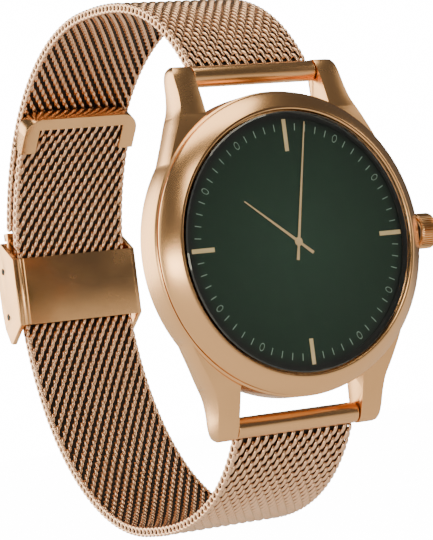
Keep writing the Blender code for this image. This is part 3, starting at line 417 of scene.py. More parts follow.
def clear_glass(name, tint, roughness):
    """Clear glass that lets light through to what lies beneath it."""
    material, tree, shader = new_material(name, Base_Color=(*tint, 1), Transmission_Weight=1.0,
                                          IOR=1.45)
    place = add_node(tree, "ShaderNodeTexCoord")
    smear = add_node(tree, "ShaderNodeTexNoise", Scale=180.0, Detail=3.0)
    faint = add_node(tree, "ShaderNodeMapRange", To_Min=roughness, To_Max=roughness + 0.02)
    tree.links.new(place.outputs["Object"], smear.inputs["Vector"])
    tree.links.new(smear.outputs["Fac"], faint.inputs["Value"])
    tree.links.new(faint.outputs["Result"], shader.inputs["Roughness"])
    ray = add_node(tree, "ShaderNodeLightPath")
    clear = add_node(tree, "ShaderNodeBsdfTransparent")
    mix = add_node(tree, "ShaderNodeMixShader")
    tree.links.new(ray.outputs["Is Shadow Ray"], mix.inputs["Fac"])
    tree.links.new(shader.outputs["BSDF"], mix.inputs[1])
    tree.links.new(clear.outputs["BSDF"], mix.inputs[2])
    tree.links.new(mix.outputs["Shader"], tree.nodes["Material Output"].inputs["Surface"])
    return material


front_glass = clear_glass("hardened_glass", (1.0, 1.0, 1.0), 0.0)
dress(glass, front_glass, "case", "glass", "cover_glass")


def plain(name, colour, other, roughness, scale=900.0, bump_depth=0.00001, metallic=0.0):
    """A moulded or printed finish: two close colours in a fine grain, with a slight relief."""
    material, tree, shader = new_material(name, Metallic=metallic)
    place = add_node(tree, "ShaderNodeTexCoord")
    grain = add_node(tree, "ShaderNodeTexNoise", Scale=scale, Detail=5.0, Roughness=0.6)
    tint = add_node(tree, "ShaderNodeMix", {"data_type": "RGBA"})
    tint.inputs[6].default_value = (*colour, 1)
    tint.inputs[7].default_value = (*other, 1)
    sheen = add_node(tree, "ShaderNodeMapRange", To_Min=roughness - 0.06,
                     To_Max=roughness + 0.06)
    bump = add_node(tree, "ShaderNodeBump", Strength=0.4, Distance=bump_depth)
    tree.links.new(place.outputs["Object"], grain.inputs["Vector"])
    tree.links.new(grain.outputs["Fac"], tint.inputs[0])
    tree.links.new(grain.outputs["Fac"], sheen.inputs["Value"])
    tree.links.new(grain.outputs["Fac"], bump.inputs["Height"])
    tree.links.new(tint.outputs[2], shader.inputs["Base Color"])
    tree.links.new(sheen.outputs["Result"], shader.inputs["Roughness"])
    tree.links.new(bump.outputs["Normal"], shader.inputs["Normal"])
    return material


black_print = plain("black_print", (0.002, 0.003, 0.0025), (0.004, 0.005, 0.0045), 0.35)
BORDER_INNER, BORDER_OUTER = 0.01735, 0.0181
border_front, border_back = glass_high.y + 0.00002, glass_high.y + 0.00005
border = turned(
    "glass_border",
    [
        (BORDER_INNER, border_front),
        (BORDER_OUTER, border_front),
        (BORDER_OUTER, border_back),
        (BORDER_INNER, border_back),
        (BORDER_INNER, border_front),
    ],
    steps=160,
)
dress(border, black_print, "case", "dial")


# ---------------------------------------------------------------- Display and dial picture
# The display is a round panel that shows the dial: deep green with a soft sunray sheen, a darker
# edge, fine pale minute marks with an 0 at most of the hours, and four gold bars and two hands.

display_low, display_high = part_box("display")
DIAL_FRONT = display_low.y
PANEL_RADIUS = 0.0177
dial_material, tree, shader = new_material("dial_green", Roughness=0.38,
                                           Emission_Strength=0.35)
place = add_node(tree, "ShaderNodeTexCoord")
turn = add_node(tree, "ShaderNodeGroup", {"node_tree": round_place})
split = add_node(tree, "ShaderNodeSeparateXYZ")
shade = add_node(tree, "ShaderNodeMapRange", From_Min=0.0, From_Max=0.0178)
ramp = add_node(tree, "ShaderNodeValToRGB")
ramp.color_ramp.elements[0].color = (0.0100, 0.0300, 0.0185, 1)
ramp.color_ramp.elements[1].position = 0.90
ramp.color_ramp.elements[1].color = (0.0025, 0.0140, 0.0070, 1)
edge = ramp.color_ramp.elements.new(0.97)
edge.color = (0.0010, 0.0035, 0.0022, 1)
middle = ramp.color_ramp.elements.new(0.5)
middle.color = (0.0058, 0.0210, 0.0118, 1)
rays = add_node(tree, "ShaderNodeTexNoise", Scale=1.0, Detail=4.0, Roughness=0.7)
stretch = add_node(tree, "ShaderNodeMapping", Scale=(8.0, 0.0, 900.0))
ray_range = add_node(tree, "ShaderNodeMapRange", To_Min=0.9, To_Max=1.1)
lit = add_node(tree, "ShaderNodeVectorMath", {"operation": "SCALE"})
tree.links.new(place.outputs["Object"], turn.inputs["Vector"])
tree.links.new(turn.outputs["Vector"], split.inputs["Vector"])
tree.links.new(split.outputs["X"], shade.inputs["Value"])
tree.links.new(shade.outputs["Result"], ramp.inputs["Fac"])
tree.links.new(turn.outputs["Vector"], stretch.inputs["Vector"])
tree.links.new(stretch.outputs["Vector"], rays.inputs["Vector"])
tree.links.new(rays.outputs["Fac"], ray_range.inputs["Value"])
tree.links.new(ramp.outputs["Color"], lit.inputs[0])
tree.links.new(ray_range.outputs["Result"], lit.inputs["Scale"])
tree.links.new(lit.outputs["Vector"], shader.inputs["Base Color"])
tree.links.new(lit.outputs["Vector"], shader.inputs["Emission Color"])
panel = turned(
    "display_panel",
    [
        (0.0174, DIAL_FRONT),
        (PANEL_RADIUS, DIAL_FRONT + 0.0002),
        (PANEL_RADIUS, display_high.y),
    ],
    steps=160,
    closed=False,
)
close_ends()
dress(panel, dial_material, "case", "dial", "display")

pale_print = plain("pale_print", (0.22, 0.33, 0.28), (0.27, 0.38, 0.33), 0.5)
gold_print = plain("gold_print", (0.80, 0.66, 0.40), (0.62, 0.45, 0.22), 0.35, scale=500.0,
                   metallic=0.3)
hand_print = plain("hand_print", (0.74, 0.55, 0.32), (0.62, 0.44, 0.25), 0.35, scale=500.0,
                   metallic=0.3)
MARK_DEPTH = 0.00003
MARK_LIFT = 0.00003
MINUTE_INNER, MINUTE_OUTER, MINUTE_WIDTH = 0.0156, 0.0166, 0.0001
NOUGHT_PLACE, NOUGHT_RADIUS, NOUGHT_LINE = 0.0161, 0.00054, 0.000055
BAR_OUTER, BAR_WIDTH = 0.0172, 0.00062
HAND_WIDTH, HAND_TIP = 0.00042, 0.00016
TAIL_WIDTH, TAIL_TIP = 0.00034, 0.00046


def join_pieces(name, pieces):
    """Join several loose pieces into one."""
    bpy.ops.object.select_all(action="DESELECT")
    for piece in pieces:
        piece.select_set(True)
    bpy.context.view_layer.objects.active = pieces[0]
    bpy.ops.object.join()
    pieces[0].name = pieces[0].data.name = name
    return pieces[0]


def printed_mark(angle, inner, outer, width, tip=None, lift=MARK_LIFT):
    """A flat mark along a radius of the dial, at an angle clockwise from 12."""
    tip = width if tip is None else tip
    mark = cut_out("mark", [(-width / 2, inner), (width / 2, inner), (tip / 2, outer),
                            (-tip / 2, outer)],
                   DIAL_FRONT - lift, DIAL_FRONT - lift - MARK_DEPTH, plane="XZ")
    mark.data.transform(Matrix.Rotation(angle, 4, "Y"))
    return mark


marks = [
    printed_mark(radians(6 * minute), MINUTE_INNER, MINUTE_OUTER, MINUTE_WIDTH)
    for minute in range(60)
    if minute % 5
]
dress(join_pieces("minute_marks", marks), pale_print, "case", "dial")

noughts = []
for hour in (1, 2, 4, 5, 7, 8, 10, 11):
    bpy.ops.object.select_all(action="DESELECT")
    bpy.ops.mesh.primitive_torus_add(major_segments=24, minor_segments=6,
                                     major_radius=NOUGHT_RADIUS, minor_radius=NOUGHT_LINE,
                                     rotation=(pi / 2, 0, 0))
    nought = bpy.context.object
    bpy.ops.object.transform_apply(location=True, rotation=True, scale=True)
    nought.data.transform(Matrix.Diagonal((0.62, 0.4, 1.0, 1.0)))
    turn_to_hour = Matrix.Rotation(radians(30 * hour), 4, "Y")
    nought.data.transform(
        turn_to_hour @ Matrix.Translation((0, DIAL_FRONT - 0.00005, NOUGHT_PLACE)))
    bpy.ops.object.shade_smooth()
    noughts.append(nought)
dress(join_pieces("hour_noughts", noughts), pale_print, "case", "dial")

bars = []
for hour, length in ((0, 0.0045), (3, 0.0036), (6, 0.0036), (9, 0.0036)):
    bar = printed_mark(radians(30 * hour), BAR_OUTER - length, BAR_OUTER, BAR_WIDTH)
    soften(bar, 0.00001, segments=2)
    bars.append(bar)
dress(join_pieces("hour_bars", bars), gold_print, "case", "dial")

hands = []
for angle, length, tail, lift in ((radians(-52), 0.0101, 0.0028, 0.00006),
                                  (radians(11.3), 0.0170, 0.0026, 0.0001)):
    blade = printed_mark(angle, 0.0, length, HAND_WIDTH, tip=HAND_TIP, lift=lift)
    counter = printed_mark(angle + pi, 0.0, tail, TAIL_WIDTH, tip=TAIL_TIP, lift=lift)
    hands += [blade, counter]
hub = turned("hand_hub", [(0.00012, DIAL_FRONT - 0.00016), (0.0006, DIAL_FRONT - 0.00014),
                          (0.00062, DIAL_FRONT - 0.00003)], steps=32, closed=False)
dress(join_pieces("hand_picture", hands + [hub]), hand_print, "case", "dial")


# ---------------------------------------------------------------- Case back
# A pressed steel lid, brushed in rings, closes the case from behind on a rubber seal. It steps in
# from the rim, and has a well for the sensor window and two holes for the charging contacts.


def refined(node, width, segments=2, name=None):
    """A merged copy of a machined part, with its sharp edges eased."""
    bpy.ops.object.select_all(action="DESELECT")
    source = nodes[node]
    piece = bpy.data.objects.new(name or node + "_part", source.data.copy())
    bpy.context.scene.collection.objects.link(piece)
    piece.select_set(True)
    bpy.context.view_layer.objects.active = piece
    bpy.ops.object.mode_set(mode="EDIT")
    bpy.ops.mesh.select_all(action="SELECT")
    bpy.ops.mesh.remove_doubles(threshold=2e-6)
    bpy.ops.mesh.dissolve_limited(angle_limit=radians(0.6))
    bpy.ops.mesh.normals_make_consistent(inside=False)
    bpy.ops.object.mode_set(mode="OBJECT")
    if piece.data.has_custom_normals:
        bpy.ops.mesh.customdata_custom_splitnormals_clear()
    return soften(piece, width, segments=segments)


steel_rings = metal("back_steel", (0.60, 0.59, 0.58), (0.50, 0.49, 0.49), 0.24, 0.34,
                    lines_across=(3e4, 6e3, 3e2), round_lines=True)
dress(refined("case_back", 0.00008, name="back_plate"), steel_rings, "case", "steel",
      "case_back")


# ---------------------------------------------------------------- Back screws
# Four small flat-headed screws hold the case back. Each is turned steel with a cross-shaped
# recess pressed in its head.

screw_steel = metal("screw_steel", (0.55, 0.55, 0.56), (0.45, 0.45, 0.46), 0.22, 0.32,
                    lines_across=(9e3, 9e3, 9e3))
RECESS_SIZE = (0.0013, 0.0005, 0.00026)
for number in (1, 2, 3, 4):
    node = f"back_screw_{number}"
    low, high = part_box(node)
    middle = (low + high) / 2
    screw = refined(node, 0.00005)
    for quarter in (0, pi / 2):
        bpy.ops.object.select_all(action="DESELECT")
        bpy.ops.mesh.primitive_cube_add(size=1, location=(middle.x, high.y, middle.z),
                                        rotation=(0, quarter + pi / 4, 0),
                                        scale=RECESS_SIZE)
        join_to(screw, bpy.context.object, "DIFFERENCE")
    dress(screw, screw_steel, "case", "steel", node)


# ---------------------------------------------------------------- Sensor window and contacts
# The window is a round smoked lens that rests on the wrist, over a green-lit heart sensor. The
# two charging contacts below it are gold-plated pins, flush with the back.

window_glass = clear_glass("smoked_glass", (0.30, 0.32, 0.33), 0.0)
dress(refined("sensor_window", 0.0001, name="sensor_lens"), window_glass, "case", "glass",
      "sensor_window")
gold_contact = metal("contact_gold", (0.88, 0.66, 0.30), (0.80, 0.58, 0.25), 0.16, 0.26,
                     lines_across=(9e3, 9e3, 9e3))
for number in (1, 2):
    dress(refined(f"charging_contact_{number}", 0.00008, name=f"contact_pin_{number}"),
          gold_contact, "case", "contact_gold", f"charging_contact_{number}")


# ---------------------------------------------------------------- Crown
# The crown is turned from one bar, with a knurl rolled round its rim for grip and a smooth end
# cap inside a fine groove. It is plated like the case, and is pressed in as a button.

crown_low, crown_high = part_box("crown_head")
CROWN_AXIS = (crown_low + crown_high) / 2
CROWN_RADIUS = (crown_high.y - crown_low.y) / 2
FLUTES = 44
FLUTE_DEPTH = 0.00022
SOCKET_RADIUS = 0.0019
SOCKET_ROOF = 0.0008
RIM_HEIGHT = 0.0001
GROOVE_OUTER, GROOVE_INNER, GROOVE_DEPTH = 0.00195, 0.0018, 0.00022
NEAR_AXIS = 0.00002
outline = []
for step in range(FLUTES * 4):
    share = step % 4
    radius = CROWN_RADIUS - (FLUTE_DEPTH if share in (0, 1) else 0.0)
    turn_angle = 2 * pi * step / (FLUTES * 4)
    outline.append((CROWN_AXIS.y + radius * cos(turn_angle),
                    CROWN_AXIS.z + radius * sin(turn_angle)))
crown = cut_out("crown_knurl", outline, crown_low.x - 0.0005, crown_high.x + 0.0005)
envelope = turned(
    "crown_envelope",
    [
        (SOCKET_RADIUS, crown_low.x),
        (CROWN_RADIUS - 0.0003, crown_low.x),
        (CROWN_RADIUS + 0.00002, crown_low.x + 0.00032),
        (CROWN_RADIUS + 0.00002, crown_high.x - 0.00042),
        (CROWN_RADIUS - 0.0004, crown_high.x - RIM_HEIGHT),
        (GROOVE_OUTER, crown_high.x - RIM_HEIGHT),
        (0.0019, crown_high.x - GROOVE_DEPTH),
        (GROOVE_INNER, crown_high.x - GROOVE_DEPTH),
        (0.00172, crown_high.x - 0.00008),
        (0.0006, crown_high.x),
        (NEAR_AXIS, crown_high.x),
        (NEAR_AXIS, crown_high.x - SOCKET_ROOF),
        (SOCKET_RADIUS, crown_high.x - SOCKET_ROOF),
        (SOCKET_RADIUS, crown_low.x),
    ],
    steps=96,
    along="X",
    centre=(0, CROWN_AXIS.y, CROWN_AXIS.z),
)
join_to(crown, envelope, "INTERSECT")
soften(crown, 0.00004, segments=2, angle=25)
crown_metal = metal("crown_rose_gold", ROSE, ROSE_HAZE, 0.16, 0.24,
                    lines_across=(9e3, 9e3, 9e3))
dress(crown, crown_metal, "crown", "rose_gold", "crown_head")


# ---------------------------------------------------------------- Crown spring
# A short coil of steel wire stands on the case's tube inside the hollow crown, and pushes the
# crown out again after it has been pressed.

spring_steel = metal("spring_steel", (0.60, 0.60, 0.61), (0.50, 0.50, 0.51), 0.22, 0.32,
                     lines_across=(9e3, 9e3, 9e3))
spring = refined("crown_spring", 0.00001, segments=1, name="crown_return_spring")
dress(spring, spring_steel, "case", "steel", "crown_spring")
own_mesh(spring)


# ---------------------------------------------------------------- End tubes and spring bars
# Each end of the strap is a rolled tube, soldered to the last row of mesh. A spring bar of steel
# runs through it, and its two tips snap into blind holes in the lugs.

tube_metal = metal("tube_rose_gold", ROSE, ROSE_HAZE, 0.22, 0.30,
                   lines_across=(2e2, 2e4, 2e4))
for side in ("upper", "lower"):
    dress(refined(f"{side}_end_tube", 0.00006, name=f"{side}_tube"), tube_metal, f"{side}_1",
          "rose_gold", f"{side}_end_tube")
bar_steel = metal("bar_steel", (0.60, 0.60, 0.61), (0.50, 0.50, 0.51), 0.22, 0.32,
                  lines_across=(9e3, 9e3, 2e3))


# ---------------------------------------------------------------- Woven mesh strap
# The strap is woven from flattened coils of fine round wire, each row screwed through the one
# before it. Rows are staggered by half a turn, and their ends fold over along the two edges.

LOOP_CENTRE_Y, LOOP_DEPTH, LOOP_HEIGHT, LAYER = 0.028, 0.0352, 0.039, 0.0024
STRAP_LOW, STRAP_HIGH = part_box("upper_mesh_2")
STRAP_WIDTH = STRAP_HIGH.x - STRAP_LOW.x
STRAP_THICKNESS = 0.0016
WIRE_RADIUS = 0.00032
COIL_TURNS = 13
COIL_HALF_LENGTH = 0.00086
COIL_POINTS = 12
LINKS = 6
LINK_ROWS, CLASP_ROWS, TAIL_ROWS = 12, 13, (9, 8)
FRAME_TOP, CLASP_HALF, TAIL_TOP = 0.0103, 0.0072, 0.0266


def loop_squareness():
    """The exponent with which the loop's front quarters pass through both spring bars."""
    across, up = (LOOP_CENTRE_Y - BAR_Y) / LOOP_DEPTH, BAR_Z / LOOP_HEIGHT
    low, high = 1.2, 6.0
    for _ in range(50):
        middle = (low + high) / 2
        if across ** middle + up ** middle > 1:
            low = middle
        else:
            high = middle
    return middle


def front_quarter(sign, count=800):
    """Points from a spring bar to the top or bottom of the loop."""
    power = loop_squareness()
    start = (LOOP_CENTRE_Y - BAR_Y) / LOOP_DEPTH
    line = []
    for index in range(count):
        across = start * (1 - index / (count - 1))
        up = LOOP_HEIGHT * (1 - across ** power) ** (1 / power)
        line.append(Vector((LOOP_CENTRE_Y - LOOP_DEPTH * across, sign * up)))
    return line


def back_quarter(depth, loop_height, sign, count=800):
    """Points from the top or bottom of the loop to its back."""
    return [
        Vector((LOOP_CENTRE_Y + depth * sin(pi / 2 * index / (count - 1)),
                sign * loop_height * cos(pi / 2 * index / (count - 1))))
        for index in range(1, count)
    ]


def measured(points):
    """Pair each point of a route with its length from the start."""
    length, route = 0.0, [(0.0, points[0])]
    for before, point in zip(points, points[1:]):
        length += (point - before).length
        route.append((length, point))
    return route


def place_on(route, length):
    """The point and the direction of a route at a length from its start."""
    low, high = 0, len(route) - 1
    while high - low > 1:
        middle = (low + high) // 2
        if route[middle][0] > length:
            high = middle
        else:
            low = middle
    first, second = route[low], route[high]
    share = (length - first[0]) / (second[0] - first[0])
    return first[1].lerp(second[1], share), (second[1] - first[1]).normalized()


def length_at_height(route, z, after):
    """The length at which a route passes a height, beyond another length."""
    return min((abs(point.y - z), length) for length, point in route if length > after)[1]


upper_route = measured(front_quarter(1) + back_quarter(LOOP_DEPTH, LOOP_HEIGHT, 1))
tail_quarter = back_quarter(LOOP_DEPTH - LAYER, LOOP_HEIGHT - LAYER, 1)[::-1]
lower_route = measured(front_quarter(-1) + back_quarter(LOOP_DEPTH - LAYER, LOOP_HEIGHT, -1)
                       + tail_quarter[1:])
lower_turn = length_at_height(lower_route, 0, LOOP_HEIGHT)
MESH_START = 0.00165
upper_end = length_at_height(upper_route, FRAME_TOP, LOOP_HEIGHT)
lower_end = length_at_height(lower_route, -CLASP_HALF, LOOP_HEIGHT)
tail_start = length_at_height(lower_route, CLASP_HALF, lower_turn)
tail_end = length_at_height(lower_route, TAIL_TOP, lower_turn)

mesh_metal, tree, shader = new_material("mesh_gold_wire", Metallic=1.0)
place = add_node(tree, "ShaderNodeTexCoord")
finish = add_node(tree, "ShaderNodeGroup", {"node_tree": brushing},
                  Metal=(0.92, 0.58, 0.38, 1), Haze=(0.88, 0.53, 0.33, 1), Smooth=0.20,
                  Dull=0.28, Depth=0.05)
fine = add_node(tree, "ShaderNodeMapping", Scale=(5e3, 5e3, 5e3))
# Painted shade: ambient occlusion darkens the wire's colour, down to almost black, in the gaps and hollows of the
# weave.
painted_shade_ao = add_node(tree, "ShaderNodeAmbientOcclusion", {"samples": 8}, Distance=0.0006)
painted_shade_range = add_node(tree, "ShaderNodeMapRange", From_Min=0.25, From_Max=0.80, To_Min=0.02,
                  To_Max=1.0)
painted_shade_scale = add_node(tree, "ShaderNodeVectorMath", {"operation": "SCALE"})
tree.links.new(place.outputs["Object"], fine.inputs["Vector"])
tree.links.new(fine.outputs["Vector"], finish.inputs["Vector"])
tree.links.new(painted_shade_ao.outputs["AO"], painted_shade_range.inputs["Value"])
tree.links.new(finish.outputs["Colour"], painted_shade_scale.inputs[0])
tree.links.new(painted_shade_range.outputs["Result"], painted_shade_scale.inputs["Scale"])
tree.links.new(painted_shade_scale.outputs["Vector"], shader.inputs["Base Color"])
tree.links.new(finish.outputs["Roughness"], shader.inputs["Roughness"])


def wire_coil(name, hand, late):
    """One row of the weave: a flattened coil across the strap, wound to one hand."""
    half_width = STRAP_WIDTH / 2 - WIRE_RADIUS
    half_height = STRAP_THICKNESS / 2 - WIRE_RADIUS
    bpy.ops.object.select_all(action="DESELECT")
    bpy.ops.curve.primitive_nurbs_path_add()
    curve = bpy.context.object
    curve.data.splines.clear()
    spline = curve.data.splines.new("POLY")
    count = COIL_TURNS * COIL_POINTS + 1
    spline.points.add(count - 1)
    for index, point in enumerate(spline.points):
        share = index / (count - 1)
        winding = 2 * pi * COIL_TURNS * share + (pi if late else 0)
        point.co = (-half_width + 2 * half_width * share, COIL_HALF_LENGTH * cos(winding),
                    hand * half_height * sin(winding), 1)
    curve.data.bevel_depth = WIRE_RADIUS
    curve.data.bevel_resolution = 1
    curve.data.use_fill_caps = True
    bpy.ops.object.convert(target="MESH")
    coil = bpy.context.object
    coil.name = coil.data.name = name
    bpy.ops.object.shade_smooth()
    return coil


# Painted shadow: a near-black finish for the band laid inside the strap, where the weave is in shade.
wire_shadow = plain("wire_shadow", (0.012, 0.008, 0.006), (0.02, 0.013, 0.01), 0.6)
SHADE_BAND_HALF = 0.00009
SHADE_BAND_SHORT = 0.00006
SHADE_BAND_INSET = 0.0006
SHADE_BAND_STEPS = 12


def painted_shade_band(node, body, route, start, end):
    """Painted shade deep in the weave: a dark ribbon in the middle of its thickness, standing in for the shadow
    between the wires.
    """
    near, far = [], []
    for step in range(SHADE_BAND_STEPS + 1):
        reach = (end - start - 2 * SHADE_BAND_SHORT) * step / SHADE_BAND_STEPS
        point, along = place_on(route, start + SHADE_BAND_SHORT + reach)
        across = Vector((-along.y, along.x)) * SHADE_BAND_HALF
        near.append(tuple(point + across))
        far.append(tuple(point - across))
    half_width = STRAP_WIDTH / 2 - SHADE_BAND_INSET
    shade_band = cut_out(node + "_core", near + far[::-1], -half_width, half_width)
    return dress(shade_band, wire_shadow, body, "mesh_gold", node)


bpy.ops.object.select_all(action="DESELECT")
bpy.ops.mesh.primitive_torus_add(major_segments=18, minor_segments=8, major_radius=0.00052,
                                 minor_radius=0.00027, rotation=(0, pi / 2, 0))
edge_link = bpy.context.object
bpy.ops.object.transform_apply(location=True, rotation=True, scale=True)
edge_link.data.transform(Matrix.Diagonal((1.0, 1.15, 1.0, 1.0)))
bpy.ops.object.shade_smooth()
EDGE_PLACE = STRAP_WIDTH / 2 - 0.00029
coils = {(hand, late): wire_coil("coil", hand, late) for hand in (1, -1) for late in (0, 1)}
rows_laid = {1: 0, -1: 0}


def weave(node, body, route, start, end, rows, hand, narrowed=()):
    """Lay rows of wire along a stretch of the strap, the last ones narrowed, and join them."""
    laid = []
    for row in range(rows):
        length = start + (end - start) * (row + 0.5) / rows
        point, along = place_on(route, length)
        width = narrowed[row - rows] if rows - row <= len(narrowed) else 1.0
        onto_strap = Matrix((
            (1, 0, 0, 0),
            (0, along.x, -along.y, point.x),
            (0, along.y, along.x, point.y),
            (0, 0, 0, 1),
        ))
        for pattern, shift in ((coils[(hand, rows_laid[hand] % 2)], 0), (edge_link, EDGE_PLACE),
                               (edge_link, -EDGE_PLACE)):
            wire = pattern.copy()
            wire.data = wire.data.copy()
            bpy.context.scene.collection.objects.link(wire)
            narrow = Matrix.Diagonal((1.0 if shift else width, 1.0, 1.0, 1.0))
            wire.data.transform(onto_strap @ Matrix.Translation((shift * width, 0, 0)) @ narrow)
            laid.append(wire)
        rows_laid[hand] += 1
    # A dark band of painted shade lies in the middle of each stretch, where the weave is in shadow.
    painted_shade_band(node, body, route, start, end)
    return dress(join_pieces(node + "_weave", laid), mesh_metal, body, "mesh_gold", node)


for side, route, end, hand in (("upper", upper_route, upper_end, 1),
                               ("lower", lower_route, lower_end, -1)):
    stretch = (end - MESH_START) / LINKS
    for index in range(LINKS):
        start = MESH_START + stretch * index
        weave(f"{side}_mesh_{index + 1}", f"{side}_{index + 1}", route, start,
              start + stretch, LINK_ROWS, hand)
weave("clasp_mesh", "clasp", lower_route, lower_end, tail_start, CLASP_ROWS, -1)
tail_middle = tail_start + (tail_end - tail_start) / 2
CAP_CLEARANCE = 0.0004
weave("tail_mesh_1", "tail_1", lower_route, tail_start, tail_middle, TAIL_ROWS[0], -1)
weave("tail_mesh_2", "tail_2", lower_route, tail_middle, tail_end - CAP_CLEARANCE, TAIL_ROWS[1],
      -1, narrowed=(0.96, 0.87))
for pattern in [*coils.values(), edge_link]:
    bpy.data.objects.remove(pattern, do_unlink=True)


# ---------------------------------------------------------------- End pieces of the strap
# The tail ends in a folded cap of sheet metal with a U-shaped cut-out, and the upper strap in a
# slim frame whose thin bar the clasp's cover hooks over. Both are soldered to the mesh.

sheet_metal = metal("sheet_rose_gold", ROSE, ROSE_HAZE, 0.20, 0.28,
                    lines_across=(9e3, 9e3, 9e3))
dress(refined("tail_end_cap", 0.0001, segments=3, name="tail_cap"), sheet_metal, "tail_2",
      "rose_gold", "tail_end_cap")
CAP_DEPTH, CAP_END, CAP_SHEET, CAP_CORNER = 0.0057, 0.0006, 0.00035, 0.003
CAP_PLAY = 0.00015
RIM_SINK = 0.00002
HOLLOW_REACH = 0.003
CORNER_STEPS = 12
cap_half_width = STRAP_WIDTH / 2 + CAP_SHEET
cap_half_thickness = STRAP_THICKNESS / 2 + CAP_PLAY + CAP_SHEET


def cap_outline(inset, foot):
    """The cap seen from the front, with two round top corners, drawn in by an inset."""
    half, corner = cap_half_width - inset, CAP_CORNER - inset
    top = CAP_DEPTH / 2 + CAP_END - inset
    points = [(-half, foot), (half, foot)]
    for step in range(2 * CORNER_STEPS + 1):
        turn = pi * step / (2 * CORNER_STEPS)
        centre_x = (half - corner) * (1 if step <= CORNER_STEPS else -1)
        points.append((centre_x + corner * cos(turn), top - corner + corner * sin(turn)))
    return points


cap_rim = cut_out("cap_rim", cap_outline(0, -CAP_DEPTH / 2), -cap_half_thickness + RIM_SINK,
                  cap_half_thickness - RIM_SINK, plane="XZ")
rim_hollow = cut_out("rim_hollow", cap_outline(CAP_SHEET, -CAP_DEPTH), -HOLLOW_REACH,
                     HOLLOW_REACH, plane="XZ")
join_to(cap_rim, rim_hollow, "DIFFERENCE")
cap_middle = place_on(lower_route, tail_end - CAP_DEPTH / 2)[0]
cap_chord = (place_on(lower_route, tail_end)[0]
             - place_on(lower_route, tail_end - CAP_DEPTH)[0]).normalized()
cap_rim.data.transform(Matrix((
    (1, 0, 0, 0),
    (0, cap_chord.y, cap_chord.x, cap_middle.x),
    (0, -cap_chord.x, cap_chord.y, cap_middle.y),
    (0, 0, 0, 1),
)))
soften(cap_rim, 0.00008, segments=2)
dress(cap_rim, sheet_metal, "tail_2", "rose_gold")
dress(refined("upper_end_frame", 0.00012, name="end_frame"), sheet_metal, "upper_6",
      "rose_gold", "upper_end_frame")


# ---------------------------------------------------------------- Sliding clasp
# The clasp is a stamped channel: a flat plate inside the loop between two side walls, which carry
# two steel pins. Its cover folds out on one pin, and a lock plate grips the mesh on the other.
# Along one edge the plate is rolled into a round fold.

dress(refined("clasp_base", 0.0001, segments=3, name="clasp_channel"), sheet_metal, "clasp",
      "rose_gold", "clasp_base")
dress(refined("clasp_cover", 0.0001, segments=3, name="clasp_lid"), sheet_metal, "clasp_cover",
      "rose_gold", "clasp_cover")
dress(refined("clasp_lock_plate", 0.00008, name="clasp_grip"), sheet_metal, "clasp_lock",
      "rose_gold", "clasp_lock_plate")
base_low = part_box("clasp_base")[0]
FOLD_RADIUS, FOLD_LENGTH = 0.0007, 0.0106
dark_steel = metal("dark_steel", (0.02, 0.02, 0.02), (0.03, 0.03, 0.03), 0.45, 0.55)
bpy.ops.object.select_all(action="DESELECT")
bpy.ops.mesh.primitive_cylinder_add(vertices=32, radius=FOLD_RADIUS, depth=FOLD_LENGTH,
                                    location=(base_low.x + 0.0014, base_low.y + 0.00035, 0))
fold = bpy.context.object
bpy.ops.object.transform_apply(location=True, rotation=True, scale=True)
soften(fold, 0.0001, segments=2)
fold.name = fold.data.name = "clasp_fold"
dress(fold, sheet_metal, "clasp", "rose_gold")
for role in ("cover", "lock"):
    pin = refined(f"clasp_{role}_pin", 0.00006, name=f"clasp_{role}_rivet")
    dress(pin, dark_steel, "clasp", "steel", f"clasp_{role}_pin")


# ---------------------------------------------------------------- Hidden works
# Inside are the display's holder, the boards, the battery and the vibration motor, and the
# crown's tube, seal, clip, spring, pusher and switch. Each keeps its machined or moulded shape.

works = {
    "black_plastic": plain("moulded_black", (0.02, 0.02, 0.021), (0.03, 0.03, 0.031), 0.5),
    "black_rubber": plain("seal_rubber", (0.012, 0.012, 0.012), (0.02, 0.02, 0.02), 0.7),
    "board_green": plain("board_laminate", (0.012, 0.09, 0.04), (0.02, 0.13, 0.06), 0.4),
    "foil": plain("battery_foil", (0.50, 0.52, 0.54), (0.60, 0.61, 0.63), 0.35, metallic=0.8),
    "sensor_green": plain("sensor_lens_green", (0.10, 0.50, 0.18), (0.16, 0.62, 0.25), 0.25),
    "steel": bar_steel,
}
slot_of = {part["node"]: part["material_slot"] for part in frame["record"]["subparts"]}
for node, piece in nodes.items():
    if slot_of[node] in works and not piece.hide_render:
        piece.data.materials.clear()
        piece.data.materials.append(works[slot_of[node]])


# ---------------------------------------------------------------- Studio
# A pale floor well below the watch, six soft boxes with the strongest behind it on its left, and
# a camera low in front of it. To the camera, the floor and the world are white.

FLOOR_SIZE, FLOOR_HEIGHT = 6.0, -0.11
FLOOR_WHITE, FLOOR_GLOW = 15.0, 0.15
WORLD_WHITE, WORLD_GLOW = 16.0, 0.10
WHITE = (1, 1, 1, 1)
bpy.ops.object.select_all(action="DESELECT")
bpy.ops.mesh.primitive_plane_add(size=FLOOR_SIZE, location=(0, 0, FLOOR_HEIGHT))
floor = bpy.context.object
floor.name = floor.data.name = "studio_floor"
floor_material = plain("floor_paper", (0.80, 0.80, 0.80), (0.84, 0.84, 0.84), 0.8, scale=3.0)
tree = floor_material.node_tree
ray = add_node(tree, "ShaderNodeLightPath")
bright = add_node(tree, "ShaderNodeMath", {"operation": "MULTIPLY"})
bright.inputs[1].default_value = FLOOR_WHITE
glow = add_node(tree, "ShaderNodeMath", {"operation": "ADD"})
glow.inputs[1].default_value = FLOOR_GLOW
paper = tree.nodes["Principled BSDF"]
paper.inputs["Emission Color"].default_value = WHITE
tree.links.new(ray.outputs["Is Camera Ray"], bright.inputs[0])
tree.links.new(bright.outputs["Value"], glow.inputs[0])
tree.links.new(glow.outputs["Value"], paper.inputs["Emission Strength"])
floor.data.materials.append(floor_material)

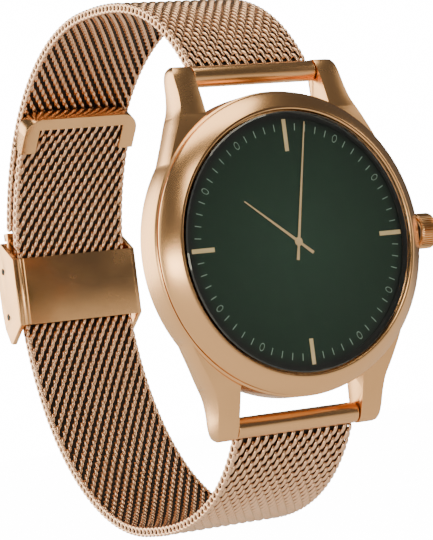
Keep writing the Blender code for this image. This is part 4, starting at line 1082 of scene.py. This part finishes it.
world = bpy.data.worlds.new("studio")
bpy.context.scene.world = world
world.use_nodes = True
tree = world.node_tree
seen = tree.nodes["Background"]
seen.inputs["Color"].default_value = WHITE
seen.inputs["Strength"].default_value = WORLD_WHITE
soft = add_node(tree, "ShaderNodeBackground", Color=WHITE, Strength=WORLD_GLOW)
ray = add_node(tree, "ShaderNodeLightPath")
mix = add_node(tree, "ShaderNodeMixShader")
tree.links.new(ray.outputs["Is Camera Ray"], mix.inputs["Fac"])
tree.links.new(soft.outputs["Background"], mix.inputs[1])
tree.links.new(seen.outputs["Background"], mix.inputs[2])
tree.links.new(mix.outputs["Shader"], tree.nodes["World Output"].inputs["Surface"])


WARM_LIGHT = (1.0, 0.93, 0.74)
AIM = Vector((0, 0.03, 0))


def soft_light(name, place, width, tall, power):
    """A soft box: a rectangular light at a place, turned to face the watch."""
    lamp = bpy.data.lights.new(name, "AREA")
    lamp.shape = "RECTANGLE"
    lamp.size, lamp.size_y, lamp.energy = width, tall, power
    lamp.color = WARM_LIGHT
    holder = bpy.data.objects.new(name, lamp)
    holder.location = place
    holder.rotation_euler = (AIM - Vector(place)).to_track_quat("-Z", "Y").to_euler()
    bpy.context.scene.collection.objects.link(holder)


soft_light("left_back_box", (-0.55, 0.75, 0.08), 0.8, 0.9, 12.0)
soft_light("left_front_box", (-0.85, -0.10, 0.10), 0.4, 0.9, 1.2)
soft_light("top_box", (-0.05, -0.10, 0.85), 0.7, 0.5, 5.0)
soft_light("front_box", (-0.35, -0.70, 0.55), 0.3, 0.4, 2.0)
soft_light("low_box", (-0.60, -0.50, -0.05), 0.30, 0.16, 1.6)
soft_light("right_box", (0.80, -0.20, 0.20), 0.4, 0.6, 2.0)

camera = bpy.data.objects.new("camera", bpy.data.cameras.new("camera"))
FOCAL_LENGTH, SENSOR_SIZE, FAR_CLIP = 168.0, 36.0, 20.0
camera.data.lens, camera.data.clip_end = FOCAL_LENGTH, FAR_CLIP
camera.data.sensor_fit = "VERTICAL"
camera.data.sensor_width = camera.data.sensor_height = SENSOR_SIZE
camera.location = (-0.1871, -0.3055, -0.0162)
backward = -Vector((0.505, 0.8622, 0.0391)).normalized()
camera_up = Vector((0.0885, -0.0967, 0.9914)).normalized()
camera_right = camera_up.cross(backward).normalized()
camera_up = backward.cross(camera_right)
camera.rotation_euler = Matrix((camera_right, camera_up, backward)).transposed().to_euler()
bpy.context.scene.collection.objects.link(camera)
bpy.context.scene.camera = camera
